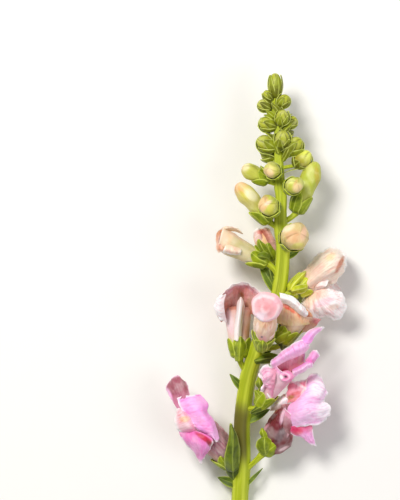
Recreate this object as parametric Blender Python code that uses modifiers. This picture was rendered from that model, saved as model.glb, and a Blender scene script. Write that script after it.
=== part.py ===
"""A cut snapdragon stem that lies on its side, with its open flowers, buds and calyces.

The stem runs along +Y to its tip and +Z is up, away from the surface it lies on. The origin is
at the middle of the footprint. Lengths are in millimetres until a mesh is made.
"""

import math
from dataclasses import dataclass

import bmesh
import bpy
import numpy as np
from mathutils import Vector

MM = 0.001
NAME = "snapdragon_stem"

# Driving dimensions
PETAL_THICKNESS = 0.75
SEPAL_THICKNESS = 0.8
BRACT_THICKNESS = 0.8
CLEARANCE = 0.5
PEDICEL_RADIUS = 1.1
SEPALS = 5
SEPAL_LENGTH = 7.0
SEPAL_NOTCH = 0.68
CALYX_SHARE = 0.45

# The tube of a flower: its radii, how fast it widens, and the length over which its base rounds off
TUBE_BASE_RADIUS = 2.7
TUBE_MOUTH_RADIUS = 5.6
TUBE_SWELL = 0.8
TUBE_ROUND_END = 1.6

# A closed bud: how slender it is, where it starts to taper, how bluntly, and the depth of its folds
BUD_SLENDER = 1.6
BUD_TAPER_START = 0.55
BUD_TAPER_POWER = 2.2
BUD_FOLD = 0.1

# Where a pedicel heads off along the stem, and how long it runs straight into the calyx
PEDICEL_EARLY = 0.35
PEDICEL_RISE = 0.1
PEDICEL_BEND = 0.4
PEDICEL_FLARE = 1.2

# Green buds near the tip: stalk radius, where the stalk joins below them, ridges and length
GREEN_STALK_RADIUS = 0.8
GREEN_STALK_DROP = 4.0
GREEN_TIP_MARGIN = 2.0
GREEN_BUD_RIDGE = 0.06
GREEN_BUD_STRETCH = 1.25

# The main stem from its cut end to its tip: x, y, z and radius
STEM_PATH = (
    (-6.7, -102.5, 3.0, 3.5),
    (-6.7, -91.0, 3.05, 3.5),
    (-6.7, -77.3, 5.0, 3.5),
    (-5.7, -62.6, 7.6, 3.5),
    (-5.7, -43.7, 10.6, 3.4),
    (-3.4, -26.9, 13.2, 3.4),
    (0.2, -14.3, 15.0, 3.3),
    (5.0, -1.7, 16.4, 3.1),
    (9.7, 10.9, 17.6, 3.0),
    (11.3, 27.7, 18.6, 2.9),
    (10.3, 38.2, 19.0, 2.6),
    (10.5, 48.7, 19.3, 2.3),
    (9.7, 61.3, 19.4, 2.0),
    (8.8, 82.3, 19.0, 1.4),
    (8.2, 96.0, 18.6, 1.0),
)
STEM_RINGS = 22
STEM_BEVEL = 4
PEDICEL_RINGS = 6
PEDICEL_BEVEL = 1

# Mesh density of the curves, sheets and solids, and the distances, in metres, that weld their points
SPLINE_STEPS = 24
STEM_SAMPLES = 80
TUBE_WELD = 0.00001
SHEET_WELD = 0.00002
COROLLA_SEGMENTS = 24
CALYX_SEGMENTS = 10
BUD_SEGMENTS = 12
BUD_RINGS = 8
GREEN_BUD_SEGMENTS = 10
GREEN_BUD_RINGS = 6
TUBE_ROWS = (0.0, 0.05, 0.2, 0.45, 0.75, 1.0)
LOBE_ROWS = (0.3, 0.6, 0.85, 1.0)
RELAX_STEPS = 2


@dataclass(frozen=True)
class Floret:
    """One flower or bud: its base and mouth, the way its back faces, and where its stalk joins.

    `edge` is the free edge of the petals, for an open flower, as rows of angle, x, y, z and lift.
    The angle goes round the mouth, with the upper lip at 90 degrees and the lower lip at 270. The
    point is given from the middle of the mouth along the part's axes, and the lift is how far the
    petal heads on along the tube before it bends to that point.
    """

    name: str
    base: tuple
    mouth: tuple
    dorsal: tuple
    girth: float
    joins: float
    edge: tuple = ()
    palate: float = 0.0

    @property
    def length(self):
        """Return the length from the base to the mouth, or to the tip of a bud."""
        return (Vector(self.mouth) - Vector(self.base)).length

    def axes(self):
        """Return the lateral, dorsal and axial unit vectors of the floret."""
        axial = (Vector(self.mouth) - Vector(self.base)).normalized()
        hint = Vector(self.dorsal)
        dorsal = (hint - axial * hint.dot(axial)).normalized()
        return dorsal.cross(axial), dorsal, axial

    def place(self, point):
        """Turn a point of the floret's own frame into one of the part's frame."""
        lateral, dorsal, axial = self.axes()
        return Vector(self.base) + lateral * point[0] + dorsal * point[1] + axial * point[2]


# Hooded upper lip that points up and right, and a lower lip fanned towards the viewer
RIGHT_UPPER_EDGE = (
    (15, 3.5, -3.0, -7, 8), (45, 7.5, 1.5, -7, 14), (75, 10.5, 5.0, -2, 16), (90, 11.0, 6.5, 0, 16),
    (105, 10.5, 5.0, 2, 16), (135, 8.0, 1.5, 6, 14), (165, 5.5, -1.5, 8, 7), (180, 6.0, -4.5, 9, 4),
    (195, 7.5, -7.5, 10, 4), (210, 9.5, -10.5, 10, 5), (225, 9.5, -15.0, 8, 6), (240, 7.0, -18.5, 6, 6),
    (255, 1.5, -18.0, 4, 5), (270, -2.0, -17.0, 1, 3), (285, -1.0, -15.5, -9, 3),
    (315, 4.0, -13.5, -19, 3), (345, 7.0, -8.0, -18, 3))
# Two upper lobes that arch over and hang back over the tube like an umbrella
LEFT_UPPER_EDGE = (
    (0, -10.0, 1.0, 0, 12), (30, -9.5, 0.5, 5, 16), (60, -5.0, 0.5, 10, 20), (75, -2.0, 3.5, 11, 22),
    (90, 1.0, 6.0, 11, 22), (105, 4.0, 3.5, 11, 22), (120, 7.0, 3.5, 10, 20), (150, 10.5, 5.0, 5, 16),
    (180, 11.0, 6.0, 0, 12), (210, 10.0, 6.0, -8, 8), (240, 6.0, 8.0, -19, 8), (270, 0.0, 9.0, -21, 8),
    (300, -6.0, 7.0, -19, 8), (330, -9.0, 3.0, -8, 8))
# An upper lip folded over into a round dome that faces the viewer
FRONT_LEFT_EDGE = (
    (0, 7.0, 3.0, 1, 2), (30, 6.0, 4.5, 7, 10), (60, 3.5, 1.5, 11, 17), (90, 0.5, 0.5, 12, 20),
    (120, -3.0, 1.5, 11, 17), (150, -6.5, 4.5, 7, 10), (180, -7.5, 3.0, 1, 2), (210, -5.5, 0.5, 3.5, 2),
    (240, -3.0, -1.5, 5, 2), (270, 0.0, -2.0, 5.5, 2), (300, 3.0, -1.5, 5, 2), (330, 5.5, 0.5, 3.5, 2))
# A rolled band across the far side of an open mouth
FRONT_RIGHT_EDGE = (
    (0, 8.0, -3.5, 1, 2), (30, 8.0, 1.0, 1, 7), (60, 3.5, 6.0, 2, 10), (90, -1.0, 8.5, 3, 10),
    (120, -4.5, 10.0, 3, 10), (150, -7.5, 8.0, 2, 7), (180, -8.5, 5.0, 1, 2), (225, -7.5, 0.0, 6, 2),
    (270, -2.0, -3.0, 9, 2), (315, 5.0, -5.0, 6, 2))
# A long upper lip like a tilted band, and lower lobes that curl towards the right
RIGHT_MIDDLE_EDGE = (
    (0, 9.0, 4.0, -7, 4), (30, 14.5, 10.5, -5, 6), (60, 15.5, 16.0, 0, 8), (75, 17.0, 18.5, 2, 8),
    (90, 11.5, 13.5, 3, 6), (105, 12.0, 12.0, 4, 6), (120, 7.5, 8.5, 7, 5), (150, 1.0, 5.5, 7, 4),
    (180, -5.0, 0.5, 7, 3), (210, -3.0, -4.5, 8, 4), (225, 2.0, -6.5, 7, 5), (240, 5.5, -4.5, 5, 5),
    (255, 10.5, -2.0, 4, 6), (270, 12.0, 0.5, 2, 6), (285, 13.0, 3.5, 0, 6), (300, 12.0, 3.5, -3, 6),
    (330, 9.5, 3.0, -7, 5))
# A broad two-lobed upper lip that faces the viewer, and a pointed lower lobe
RIGHT_LOWER_EDGE = (
    (0, -3.5, 7.5, 2, 3), (15, -1.5, 7.5, 5, 3), (45, 6.5, 15.5, 6, 8), (60, 11.0, 17.5, 6, 10),
    (75, 16.0, 11.0, 6, 12), (90, 14.0, 7.0, 7, 12), (105, 17.0, 3.5, 6, 12), (120, 15.5, -1.0, 5, 10),
    (135, 10.0, -3.5, 6, 7), (165, 3.5, -6.0, 6, 3), (180, 5.5, -7.5, 2, 2), (210, 6.0, -10.0, -2, 3),
    (225, 9.5, -12.0, -3, 4), (240, 10.5, -6.0, -6, 4), (270, 12.0, 0.0, -11, 5),
    (300, 7.0, 8.0, -12, 5), (315, 2.0, 13.0, -9, 4), (330, -1.0, 13.5, -4, 3), (345, -3.5, 10.5, 0, 3))
# A long upper lip laid over the mouth, a lobe behind it and a pointed lower lobe
LEFT_LOWER_EDGE = (
    (0, 3.5, -7.5, 7.5, 3), (15, 7.0, -5.0, 9, 4), (30, 8.0, 0.0, 9, 5), (45, 5.0, 6.5, 9, 7),
    (60, 3.5, 11.0, 8, 9), (75, 0.0, 15.0, 4.5, 10), (90, -5.5, 15.0, 4, 8), (105, -9.0, 14.5, 2.5, 10),
    (120, -10.0, 20.0, -2, 10), (135, -13.0, 17.5, -3, 8), (150, -15.0, 13.5, -4, 7),
    (165, -14.0, 9.0, -5, 5), (180, -13.0, 5.0, -6, 4), (210, -11.5, 0.5, -7, 6),
    (240, -10.0, -3.0, -7, 9), (270, -8.0, -7.0, -4, 10), (285, -5.0, -10.0, -1, 10),
    (300, -2.0, -14.0, 1, 10), (315, 0.0, -12.5, 4, 8), (330, 1.5, -10.0, 6, 5))
# A bud whose end has just opened
JUST_OPEN_EDGE = tuple(
    (angle, -4.2 + 1.2 * math.sin(math.radians(angle)), 2.1 + 4.5 * math.sin(math.radians(angle)),
     5.0 * math.cos(math.radians(angle)) + 1.5 * math.sin(math.radians(angle)), 2)
    for angle in range(0, 360, 45))

FLOWERS = (
    Floret("flower_right_upper", (14.7, 10.1, 17.5), (27.7, 17.6, 12.0), (-0.5, 0.85, 0.2), 1.05, 2.0,
           RIGHT_UPPER_EDGE),
    Floret("flower_left_upper", (-7.0, -17.0, 15.5), (-7.6, 1.7, 13.0), (0, 0, 1), 1.0, -27.0,
           LEFT_UPPER_EDGE),
    Floret("flower_front_left", (2.5, -12.5, 24.0), (3.8, -3.8, 32.0), (0, 1, 0.2), 0.95, -16.0,
           FRONT_LEFT_EDGE),
    Floret("flower_front_right", (11.5, -10.5, 20.5), (17.2, 0.8, 24.5), (0.5, 1, -0.2), 0.95, -17.0,
           FRONT_RIGHT_EDGE),
    Floret("flower_right_middle", (2.8, -35.0, 18.5), (11.3, -23.1, 25.0), (-0.4, 0.9, 0), 0.85, -41.0,
           RIGHT_MIDDLE_EDGE),
    Floret("flower_right_lower", (3.3, -57.5, 12.0), (14.7, -42.4, 16.0), (0.3, 0, 1), 1.0, -71.0,
           RIGHT_LOWER_EDGE),
    Floret("flower_left_lower", (-11.0, -63.0, 9.5), (-23.5, -47.9, 17.0), (0.6, 0.6, 0.5), 1.0, -69.0,
           LEFT_LOWER_EDGE, 3.0),
    Floret("bud_opening_left", (4.0, 22.5, 19.5), (-11.0, 30.2, 20.5), (0, 1, 0.3), 0.85, 12.0,
           JUST_OPEN_EDGE),
)

BUDS = (
    Floret("bud_left_first", (4.6, 57.0, 19.5), (-5.6, 62.2, 21.0), (0, 1, 0), 0.8, 53.0),
    Floret("bud_front_first", (8.4, 60.0, 23.0), (5.2, 61.9, 30.0), (0, 1, 0), 0.8, 55.0),
    Floret("bud_front_second", (13.9, 53.5, 24.0), (17.6, 55.0, 31.6), (0, 1, 0), 0.85, 49.0),
    Floret("bud_right_first", (16.6, 43.0, 17.5), (23.8, 62.6, 18.5), (0, 1, 0), 0.95, 37.0),
    Floret("bud_left_second", (5.2, 40.0, 19.0), (-7.2, 54.3, 21.0), (0, 1, 0), 0.95, 34.0),
    Floret("bud_front_third", (6.6, 43.5, 24.5), (2.5, 45.9, 32.1), (0, 1, 0), 0.98, 40.0),
    Floret("bud_front_fourth", (15.4, 31.0, 22.0), (20.9, 33.6, 33.5), (0, 1, 0), 1.3, 27.0),
    Floret("bud_back_left", (7.4, 24.0, 12.0), (0.9, 36.2, 9.6), (0, 1, 0), 1.0, 14.0),
)

# The green buds near the tip: centre x, y, z, the azimuth and elevation they point to, and radius
GREEN_BUDS = (
    (8.1, 97.6, 18.8, 92, 0, 3.3),
    (5.0, 92.4, 19.4, 130, 20, 1.9),
    (11.3, 90.3, 20.0, 50, 20, 2.4),
    (3.3, 88.4, 19.0, 150, 5, 2.3),
    (11.0, 83.2, 21.8, 60, 60, 2.7),
    (14.3, 81.3, 19.0, 25, 5, 2.5),
    (4.8, 80.4, 20.0, 160, 20, 3.1),
    (4.2, 72.4, 19.4, 170, 15, 3.3),
    (10.8, 74.2, 22.0, 40, 60, 3.1),
    (15.8, 71.5, 19.6, 25, 15, 3.5),
    (19.6, 66.0, 19.4, 40, 5, 3.3),
    (8.5, 88.0, 15.6, 90, -40, 2.4),
    (12.2, 76.5, 15.4, 30, -40, 2.8),
    (5.4, 67.5, 15.0, 160, -40, 3.0),
)


# The bracts: where each leaves the stem along it, its tip x, y, z, and its width
BRACTS = (
    (-32.0, (-11.0, -24.5, 13.0), 3.4),
    (-72.0, (-16.0, -68.5, 4.5), 4.2),
    (-74.0, (3.0, -64.5, 6.5), 1.8),
    (-45.0, (6.0, -39.5, 9.0), 4.0),
    (-20.0, (8.0, -12.0, 12.5), 3.6),
    (-1.0, (18.0, 3.5, 10.5), 3.4),
    (9.0, (1.5, 22.5, 14.5), 4.6),
    (24.0, (18.5, 28.0, 16.0), 3.2),
)
BRACT_ROWS = 4
BRACT_TAPER = 0.8
BRACT_FOLD = 0.35
BRACT_ARCH = 0.12


def smooth_path(points, count):
    """Return `count` evenly spaced points of a Catmull-Rom curve through `points`."""
    knots = np.array(points, dtype=float)
    padded = np.vstack([2 * knots[0] - knots[1], knots, 2 * knots[-1] - knots[-2]])
    dense = []
    for index in range(len(knots) - 1):
        before, start, end, after = padded[index:index + 4]
        for t in np.linspace(0, 1, SPLINE_STEPS, endpoint=False):
            dense.append(0.5 * (2 * start + (end - before) * t
                                + (2 * before - 5 * start + 4 * end - after) * t ** 2
                                + (3 * start - before - 3 * end + after) * t ** 3))
    dense.append(knots[-1])
    dense = np.array(dense)
    steps = np.linalg.norm(np.diff(dense[:, :3], axis=0), axis=1)
    travel = np.concatenate([[0], np.cumsum(steps)])
    places = np.linspace(0, travel[-1], count)
    return np.column_stack([np.interp(places, travel, column) for column in dense.T])


def stem_at(y):
    """Return the x, y, z and radius of the main stem at the height `y` along it."""
    path = smooth_path(STEM_PATH, STEM_SAMPLES)
    return np.array([np.interp(y, path[:, 1], column) for column in path.T])


def clear_scene():
    """Remove every object that the file opens with."""
    for item in list(bpy.data.objects):
        bpy.data.objects.remove(item, do_unlink=True)


def make_material(name, colour, roughness):
    """Return a Principled material of one colour."""
    material = bpy.data.materials.new(name)
    material.use_nodes = True
    shader = material.node_tree.nodes["Principled BSDF"]
    shader.inputs["Base Color"].default_value = (*colour, 1.0)
    shader.inputs["Roughness"].default_value = roughness
    shader.inputs["Metallic"].default_value = 0.0
    return material


def add_object(mesh, name, collection, material):
    """Link a new object with this mesh and material."""
    thing = bpy.data.objects.new(name, mesh)
    collection.objects.link(thing)
    mesh.materials.append(material)
    return thing


def make_tube(name, path, bevel, collection, material):
    """Make a closed tube along a path of x, y, z and radius."""
    curve = bpy.data.curves.new(name, "CURVE")
    curve.dimensions = "3D"
    curve.bevel_depth = MM
    curve.bevel_resolution = bevel
    curve.use_fill_caps = True
    spline = curve.splines.new("POLY")
    spline.points.add(len(path) - 1)
    for point, (x, y, z, radius) in zip(spline.points, path):
        point.co = (x * MM, y * MM, z * MM, 1.0)
        point.radius = radius
    guide = bpy.data.objects.new(name + "_path", curve)
    collection.objects.link(guide)
    evaluated = guide.evaluated_get(bpy.context.evaluated_depsgraph_get())
    mesh = bpy.data.meshes.new_from_object(evaluated)
    bpy.data.objects.remove(guide, do_unlink=True)
    shape = bmesh.new()
    shape.from_mesh(mesh)
    bmesh.ops.remove_doubles(shape, verts=shape.verts, dist=TUBE_WELD)
    for vertex in shape.verts:
        vertex.co.z = max(vertex.co.z, 0.0)
    shape.to_mesh(mesh)
    shape.free()
    mesh.materials.clear()
    return add_object(mesh, name, collection, material)


def make_sheet(name, segments, rows, surface, thickness, collection, material, origin, soft=1.0):
    """Make a thin shell from a grid whose points follow surface(u, v), with u and v from 0 to 1.

    Inside its edge, the part of the sheet where v is above `soft` is relaxed to round its folds.
    """
    shape = bmesh.new()
    bmesh.ops.create_grid(shape, x_segments=segments, y_segments=rows, size=0.5)
    loose = []
    for vertex in shape.verts:
        u, v = vertex.co.x + 0.5, vertex.co.y + 0.5
        vertex.co = (surface(u, v) - Vector(origin)) * MM
        if soft + 0.001 < v < 0.999:
            loose.append(vertex)
    merged = bmesh.ops.find_doubles(shape, verts=shape.verts, dist=SHEET_WELD)["targetmap"]
    loose = [vertex for vertex in loose if vertex not in merged]
    bmesh.ops.weld_verts(shape, targetmap=merged)
    for _ in range(RELAX_STEPS):
        bmesh.ops.smooth_vert(shape, verts=loose, factor=0.5, use_axis_x=True, use_axis_y=True,
                              use_axis_z=True)
    floor = (thickness / 2 - origin[2]) * MM
    for vertex in shape.verts:
        vertex.co.z = max(vertex.co.z, floor)
    bmesh.ops.triangulate(shape, faces=shape.faces)
    mesh = bpy.data.meshes.new(name)
    shape.to_mesh(mesh)
    shape.free()
    sheet = add_object(mesh, name, collection, material)
    sheet.location = Vector(origin) * MM
    solidify = sheet.modifiers.new("thickness", "SOLIDIFY")
    solidify.thickness = thickness * MM
    solidify.offset = 0.0
    return sheet


def tube_radius(along, length, girth):
    """Return the radius of a corolla tube at a distance along it from its round base."""
    swell = (along / length) ** TUBE_SWELL
    radius = TUBE_BASE_RADIUS + (TUBE_MOUTH_RADIUS - TUBE_BASE_RADIUS) * swell
    closing = 1 - max(0.0, 1 - along / TUBE_ROUND_END) ** 2
    return girth * radius * math.sqrt(max(closing, 0.0))


def edge_at(angle, edge):
    """Return the x, y, z and lift of a closed edge at an angle, on a smooth curve through its rows."""
    rows = np.array(edge, dtype=float)
    knots = np.concatenate([rows[-2:, 0] - 360, rows[:, 0], rows[:2, 0] + 360])
    values = np.vstack([rows[-2:, 1:], rows[:, 1:], rows[:2, 1:]])
    index = int(np.searchsorted(knots, angle, side="right")) - 1
    gap = knots[index + 1] - knots[index]
    slopes = [(values[i + 1] - values[i - 1]) / (knots[i + 1] - knots[i - 1]) for i in (index, index + 1)]
    t = (angle - knots[index]) / gap
    return ((2 * t ** 3 - 3 * t ** 2 + 1) * values[index] + (t ** 3 - 2 * t ** 2 + t) * gap * slopes[0]
            + (3 * t ** 2 - 2 * t ** 3) * values[index + 1] + (t ** 3 - t ** 2) * gap * slopes[1])


def corolla_point(floret, u, v):
    """Return the point of an open corolla at the fractions u round it and v from base to edge."""
    rows = TUBE_ROWS + tuple(1 + t for t in LOBE_ROWS)
    place = float(np.interp(v * (len(rows) - 1), range(len(rows)), rows))
    degrees = 360 * u % 360
    angle = math.radians(degrees)
    along = floret.length * min(place, 1.0)
    radius = tube_radius(along, floret.length, floret.girth)
    point = floret.place((radius * math.cos(angle), radius * math.sin(angle), along))
    if place <= 1:
        return point
    x, y, z, lift = edge_at(degrees, floret.edge)
    dorsal, axial = floret.axes()[1:]
    rise = floret.palate * max(0.0, -math.sin(angle)) ** 2
    bend = point + axial * lift + dorsal * rise
    end = Vector(floret.mouth) + Vector((x, y, z))
    t = place - 1
    return point * (1 - t) ** 2 + bend * (2 * t * (1 - t)) + end * t ** 2


def make_corolla(floret, collection, material):
    """Make an open flower's tube and lobes as one thin shell."""
    rows = len(TUBE_ROWS) + len(LOBE_ROWS) - 1

    def surface(u, v):
        return corolla_point(floret, u, v)

    return make_sheet(floret.name, COROLLA_SEGMENTS, rows, surface, PETAL_THICKNESS, collection,
                      material, floret.base, (len(TUBE_ROWS) - 1) / rows)


def bud_radius(along, floret):
    """Return the radius of a closed bud at a distance along it from its base."""
    share = along / floret.length
    base = tube_radius(along, floret.length * BUD_SLENDER, floret.girth)
    taper = max(0.0, (share - BUD_TAPER_START) / (1 - BUD_TAPER_START)) ** BUD_TAPER_POWER
    return base * math.sqrt(max(0.0, 1 - taper))


def make_bud(floret, collection, material):
    """Make a closed bud with five folded lobes at its tip."""
    shape = bmesh.new()
    bmesh.ops.create_uvsphere(shape, u_segments=BUD_SEGMENTS, v_segments=BUD_RINGS, radius=1.0)
    for vertex in shape.verts:
        share = (vertex.co.z + 1) / 2
        angle = math.atan2(vertex.co.y, vertex.co.x)
        fold = 1 - BUD_FOLD * share ** 2 * (1 + math.cos(SEPALS * angle)) / 2
        radius = bud_radius(share * floret.length, floret) * fold
        point = Vector((radius * math.cos(angle), radius * math.sin(angle), share * floret.length))
        vertex.co = (floret.place(point) - Vector(floret.base)) * MM
    mesh = bpy.data.meshes.new(floret.name)
    shape.to_mesh(mesh)
    shape.free()
    bud = add_object(mesh, floret.name, collection, material)
    bud.location = Vector(floret.base) * MM
    return bud


def make_calyx(floret, outer_radius, collection, material):
    """Make the cup of five sepals that holds a floret's base."""
    margin = CLEARANCE + SEPAL_THICKNESS / 2
    corner = math.cos(math.pi / CALYX_SEGMENTS)
    reach = min(SEPAL_LENGTH, CALYX_SHARE * floret.length)
    rows = ((-margin, 0.0), (-0.7 * margin, 0.7), (0.22 * reach, 1.0), (0.6 * reach, 1.0), (reach, 1.0))

    def surface(u, v):
        height, share = rows[round(v * (len(rows) - 1))]
        tip = round(u * CALYX_SEGMENTS) % 2 == 0
        if height == reach and not tip:
            height = SEPAL_NOTCH * reach
        radius = share * (outer_radius(max(height, 1.2)) + margin) / corner
        angle = 2 * math.pi * u
        return floret.place((radius * math.cos(angle), radius * math.sin(angle), height))

    return make_sheet(floret.name + "_calyx", CALYX_SEGMENTS, len(rows) - 1, surface,
                      SEPAL_THICKNESS, collection, material, (0, 0, 0))


def make_pedicel(floret, collection, material):
    """Make the short stalk from the main stem to the base of a calyx."""
    x, y, z, _ = stem_at(floret.joins)
    start = Vector((x, y, z))
    end = floret.place((0, 0, -CLEARANCE - SEPAL_THICKNESS / 2))
    axial = floret.axes()[2]
    bend = PEDICEL_BEND * (end - start).length
    early = start + PEDICEL_EARLY * (end - start) + Vector((0, PEDICEL_RISE * bend, 0))
    late = end - axial * bend
    radii = (PEDICEL_RADIUS, PEDICEL_RADIUS, PEDICEL_RADIUS, PEDICEL_RADIUS * PEDICEL_FLARE)
    knots = [(*point, radius) for point, radius in zip((start, early, late, end), radii)]
    return make_tube(floret.name + "_pedicel", smooth_path(knots, PEDICEL_RINGS), PEDICEL_BEVEL,
                     collection, material)


def make_bract(index, entry, collection, material):
    """Make one narrow pointed bract with a folded midrib."""
    joins, tip, width = entry
    root, end = Vector(stem_at(joins)[:3]), Vector(tip)
    along = end - root
    side = along.cross(Vector((0, 0, 1))).normalized()
    keel = side.cross(along).normalized()

    def surface(u, v):
        spread = (2 * u - 1) * width / 2 * (1 - BRACT_TAPER * v ** 2)
        rise = BRACT_FOLD * abs(spread) + BRACT_ARCH * along.length * math.sin(math.pi * v)
        return root + along * v + side * spread + keel * rise

    return make_sheet(f"bract_{index}", 2, BRACT_ROWS, surface, BRACT_THICKNESS, collection, material,
                      (0, 0, 0))


def make_green_bud(index, entry, collection, material):
    """Make one small green bud with five ridges, and the stalk that joins it to the stem."""
    x, y, z, azimuth, elevation, radius = entry
    azimuth, elevation = math.radians(azimuth), math.radians(elevation)
    tip = (x + math.cos(azimuth) * math.cos(elevation), y + math.sin(azimuth) * math.cos(elevation),
           z + math.sin(elevation))
    floret = Floret(f"green_bud_{index}", (x, y, z), tip, (0.1, 1, 0.3), 1,
                    y - GREEN_STALK_DROP)
    shape = bmesh.new()
    bmesh.ops.create_uvsphere(shape, u_segments=GREEN_BUD_SEGMENTS, v_segments=GREEN_BUD_RINGS,
                              radius=radius)
    for vertex in shape.verts:
        angle = math.atan2(vertex.co.y, vertex.co.x)
        ridge = 1 + GREEN_BUD_RIDGE * math.cos(SEPALS * angle)
        point = (vertex.co.x * ridge, vertex.co.y * ridge, vertex.co.z * GREEN_BUD_STRETCH)
        vertex.co = floret.place(point) * MM
    mesh = bpy.data.meshes.new(floret.name)
    shape.to_mesh(mesh)
    shape.free()
    bud = add_object(mesh, floret.name, collection, material)
    start = stem_at(min(floret.joins, STEM_PATH[-1][1] - GREEN_TIP_MARGIN))[:3]
    middle = [(a + b) / 2 for a, b in zip(start, floret.base)]
    knots = [(*point, GREEN_STALK_RADIUS) for point in (start, middle, floret.base)]
    stalk = make_tube(floret.name + "_stalk", knots, PEDICEL_BEVEL, collection, material)
    return [bud, stalk]


def union(base, pieces):
    """Join closed pieces to a base solid and remove them."""
    tools = bpy.data.collections.new(base.name + "_pieces")
    bpy.context.scene.collection.children.link(tools)
    for piece in pieces:
        for owner in piece.users_collection:
            owner.objects.unlink(piece)
        tools.objects.link(piece)
    joined = base.modifiers.new("join", "BOOLEAN")
    joined.operation = "UNION"
    joined.operand_type = "COLLECTION"
    joined.collection = tools
    joined.solver = "EXACT"
    bpy.context.view_layer.update()
    evaluated = base.evaluated_get(bpy.context.evaluated_depsgraph_get())
    mesh = bpy.data.meshes.new_from_object(evaluated)
    shape = bmesh.new()
    shape.from_mesh(mesh)
    bmesh.ops.remove_doubles(shape, verts=shape.verts, dist=TUBE_WELD)
    shape.to_mesh(mesh)
    shape.free()
    base.modifiers.clear()
    base.data = mesh
    for piece in pieces:
        bpy.data.objects.remove(piece, do_unlink=True)
    bpy.data.collections.remove(tools)


def build():
    """Build the whole part."""
    clear_scene()
    collection = bpy.data.collections.new(NAME)
    bpy.context.scene.collection.children.link(collection)
    green = make_material("green_stem", (0.30, 0.42, 0.03), 0.5)
    pink = make_material("pink_petal", (0.85, 0.45, 0.68), 0.6)
    cream = make_material("cream_bud", (0.80, 0.78, 0.42), 0.6)

    stem = make_tube("stem", smooth_path(STEM_PATH, STEM_RINGS), STEM_BEVEL, collection, green)
    pieces = []
    for floret in FLOWERS:
        make_corolla(floret, collection, pink)

        def outer(along, floret=floret):
            return tube_radius(along, floret.length, floret.girth) + PETAL_THICKNESS / 2

        pieces.append(make_calyx(floret, outer, collection, green))
        pieces.append(make_pedicel(floret, collection, green))
    for floret in BUDS:
        make_bud(floret, collection, cream)

        def outer(along, floret=floret):
            return bud_radius(along, floret)

        pieces.append(make_calyx(floret, outer, collection, green))
        pieces.append(make_pedicel(floret, collection, green))
    for index, entry in enumerate(BRACTS):
        pieces.append(make_bract(index, entry, collection, green))
    for index, entry in enumerate(GREEN_BUDS):
        pieces.extend(make_green_bud(index, entry, collection, green))
    union(stem, pieces)


build()
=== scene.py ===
"""A cut snapdragon stem that lies on a pale table, dressed with petals, buds, calyces and stamens.

The stem runs along +Y to its tip, +Z is up towards the camera, and the origin is at the middle of
the footprint. Shapes are laid out in millimetres and become metres when a mesh is made. Nets and
spots are placed by the column and row of the picture at which they show. Colours are sRGB in 0 to
255 until they are used.
"""

import logging
import math
from collections.abc import Callable
from dataclasses import dataclass
from enum import Enum
from functools import partial

import bpy
import numpy as np
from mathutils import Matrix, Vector, noise


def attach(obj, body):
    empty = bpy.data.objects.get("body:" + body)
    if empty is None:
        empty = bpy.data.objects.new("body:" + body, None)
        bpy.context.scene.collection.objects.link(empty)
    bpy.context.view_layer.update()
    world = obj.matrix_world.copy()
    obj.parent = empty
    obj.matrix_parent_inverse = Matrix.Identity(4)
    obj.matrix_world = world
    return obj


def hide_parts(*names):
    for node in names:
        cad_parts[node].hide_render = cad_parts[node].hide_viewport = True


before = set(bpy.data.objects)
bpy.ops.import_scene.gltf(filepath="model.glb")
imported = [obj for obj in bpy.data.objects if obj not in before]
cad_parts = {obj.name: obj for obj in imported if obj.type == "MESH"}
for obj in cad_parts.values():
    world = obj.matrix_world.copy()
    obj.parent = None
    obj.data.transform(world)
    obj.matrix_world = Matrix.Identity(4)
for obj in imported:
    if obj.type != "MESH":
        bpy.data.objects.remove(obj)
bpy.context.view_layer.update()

LOG = logging.getLogger("snapdragon")
BODY = "root"

Array = np.ndarray
Colour = tuple[float, float, float]
Point = tuple[float, float, float]
Net = tuple[tuple[Point, ...], ...]
Socket = bpy.types.NodeSocket
Thing = bpy.types.Object

MM = 0.001
SEPALS = 5
FLOOR_GAP = 0.05

# The picture over the model: millimetres for each pixel, both centres, and heights in millimetres
PIXEL = 0.42
PICTURE_CENTRE = (200.0, 250.0)
VIEW_CENTRE = (-23.52, 27.72)
CAMERA_HEIGHT = 1768.0
FOCUS_HEIGHT = 18.0
SPOT_HEIGHT = 22.0

# How close points are when they weld, in metres, and steps between two knots of a path
WELD = 0.000002
PATH_STEPS = 24

# Petals, in millimetres, and the fewest and most faces along a side of a lobe
PETAL_THICKNESS = 0.42
DOME_THICKNESS = 0.4
LOBE_SPACING = 0.28
LOBE_FACES = (14, 96)

# Tubes and buds: how far a rim is painted, a young tube's colour, where a calyx starts to hold it
# in millimetres, how much a bud's tube is stretched, and the side of its patch in degrees
# The pale rim is partly the petal's own edge colour and partly painted highlight where thin edges catch the
# light.
RIM_STRENGTH = 0.85
TUBE_BASE = (225, 215, 180)
CUP_START = 1.2
BUD_TAPER = 1.6
FLANK_ANGLE = 200

# The studio: the table in metres, the lens and its sensor in millimetres
TABLE_SIZE = 3.0
LENS = 300.0
SENSOR = 36.0

# A short stalk's radius at shares of its length
PEDICEL_RADII = ((0, 1.5), (0.16, 1.35), (0.33, 1.2), (0.5, 1.15), (0.67, 1.15), (0.84, 1.3), (0.94, 1.7),
                 (1, 2.3))

# The main stem from its cut end to its tip: x, y, z and radius
STEM_PATH = (
    (-6.7, -102.5, 3.0, 3.5), (-6.7, -91.0, 3.05, 3.5), (-6.7, -77.3, 5.0, 3.5), (-5.7, -62.6, 7.6, 3.5),
    (-5.7, -43.7, 10.6, 3.4), (-3.4, -26.9, 13.2, 3.4), (0.2, -14.3, 15.0, 3.3), (5.0, -1.7, 16.4, 3.1),
    (9.7, 10.9, 17.6, 3.0), (11.3, 27.7, 18.6, 2.9), (10.3, 38.2, 19.0, 2.6), (10.5, 48.7, 19.3, 2.3),
    (9.7, 61.3, 19.4, 2.0), (8.8, 82.3, 19.0, 1.4), (8.2, 96.0, 18.6, 1.0),
)
STEM_TOP = STEM_PATH[-1][1]


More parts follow.
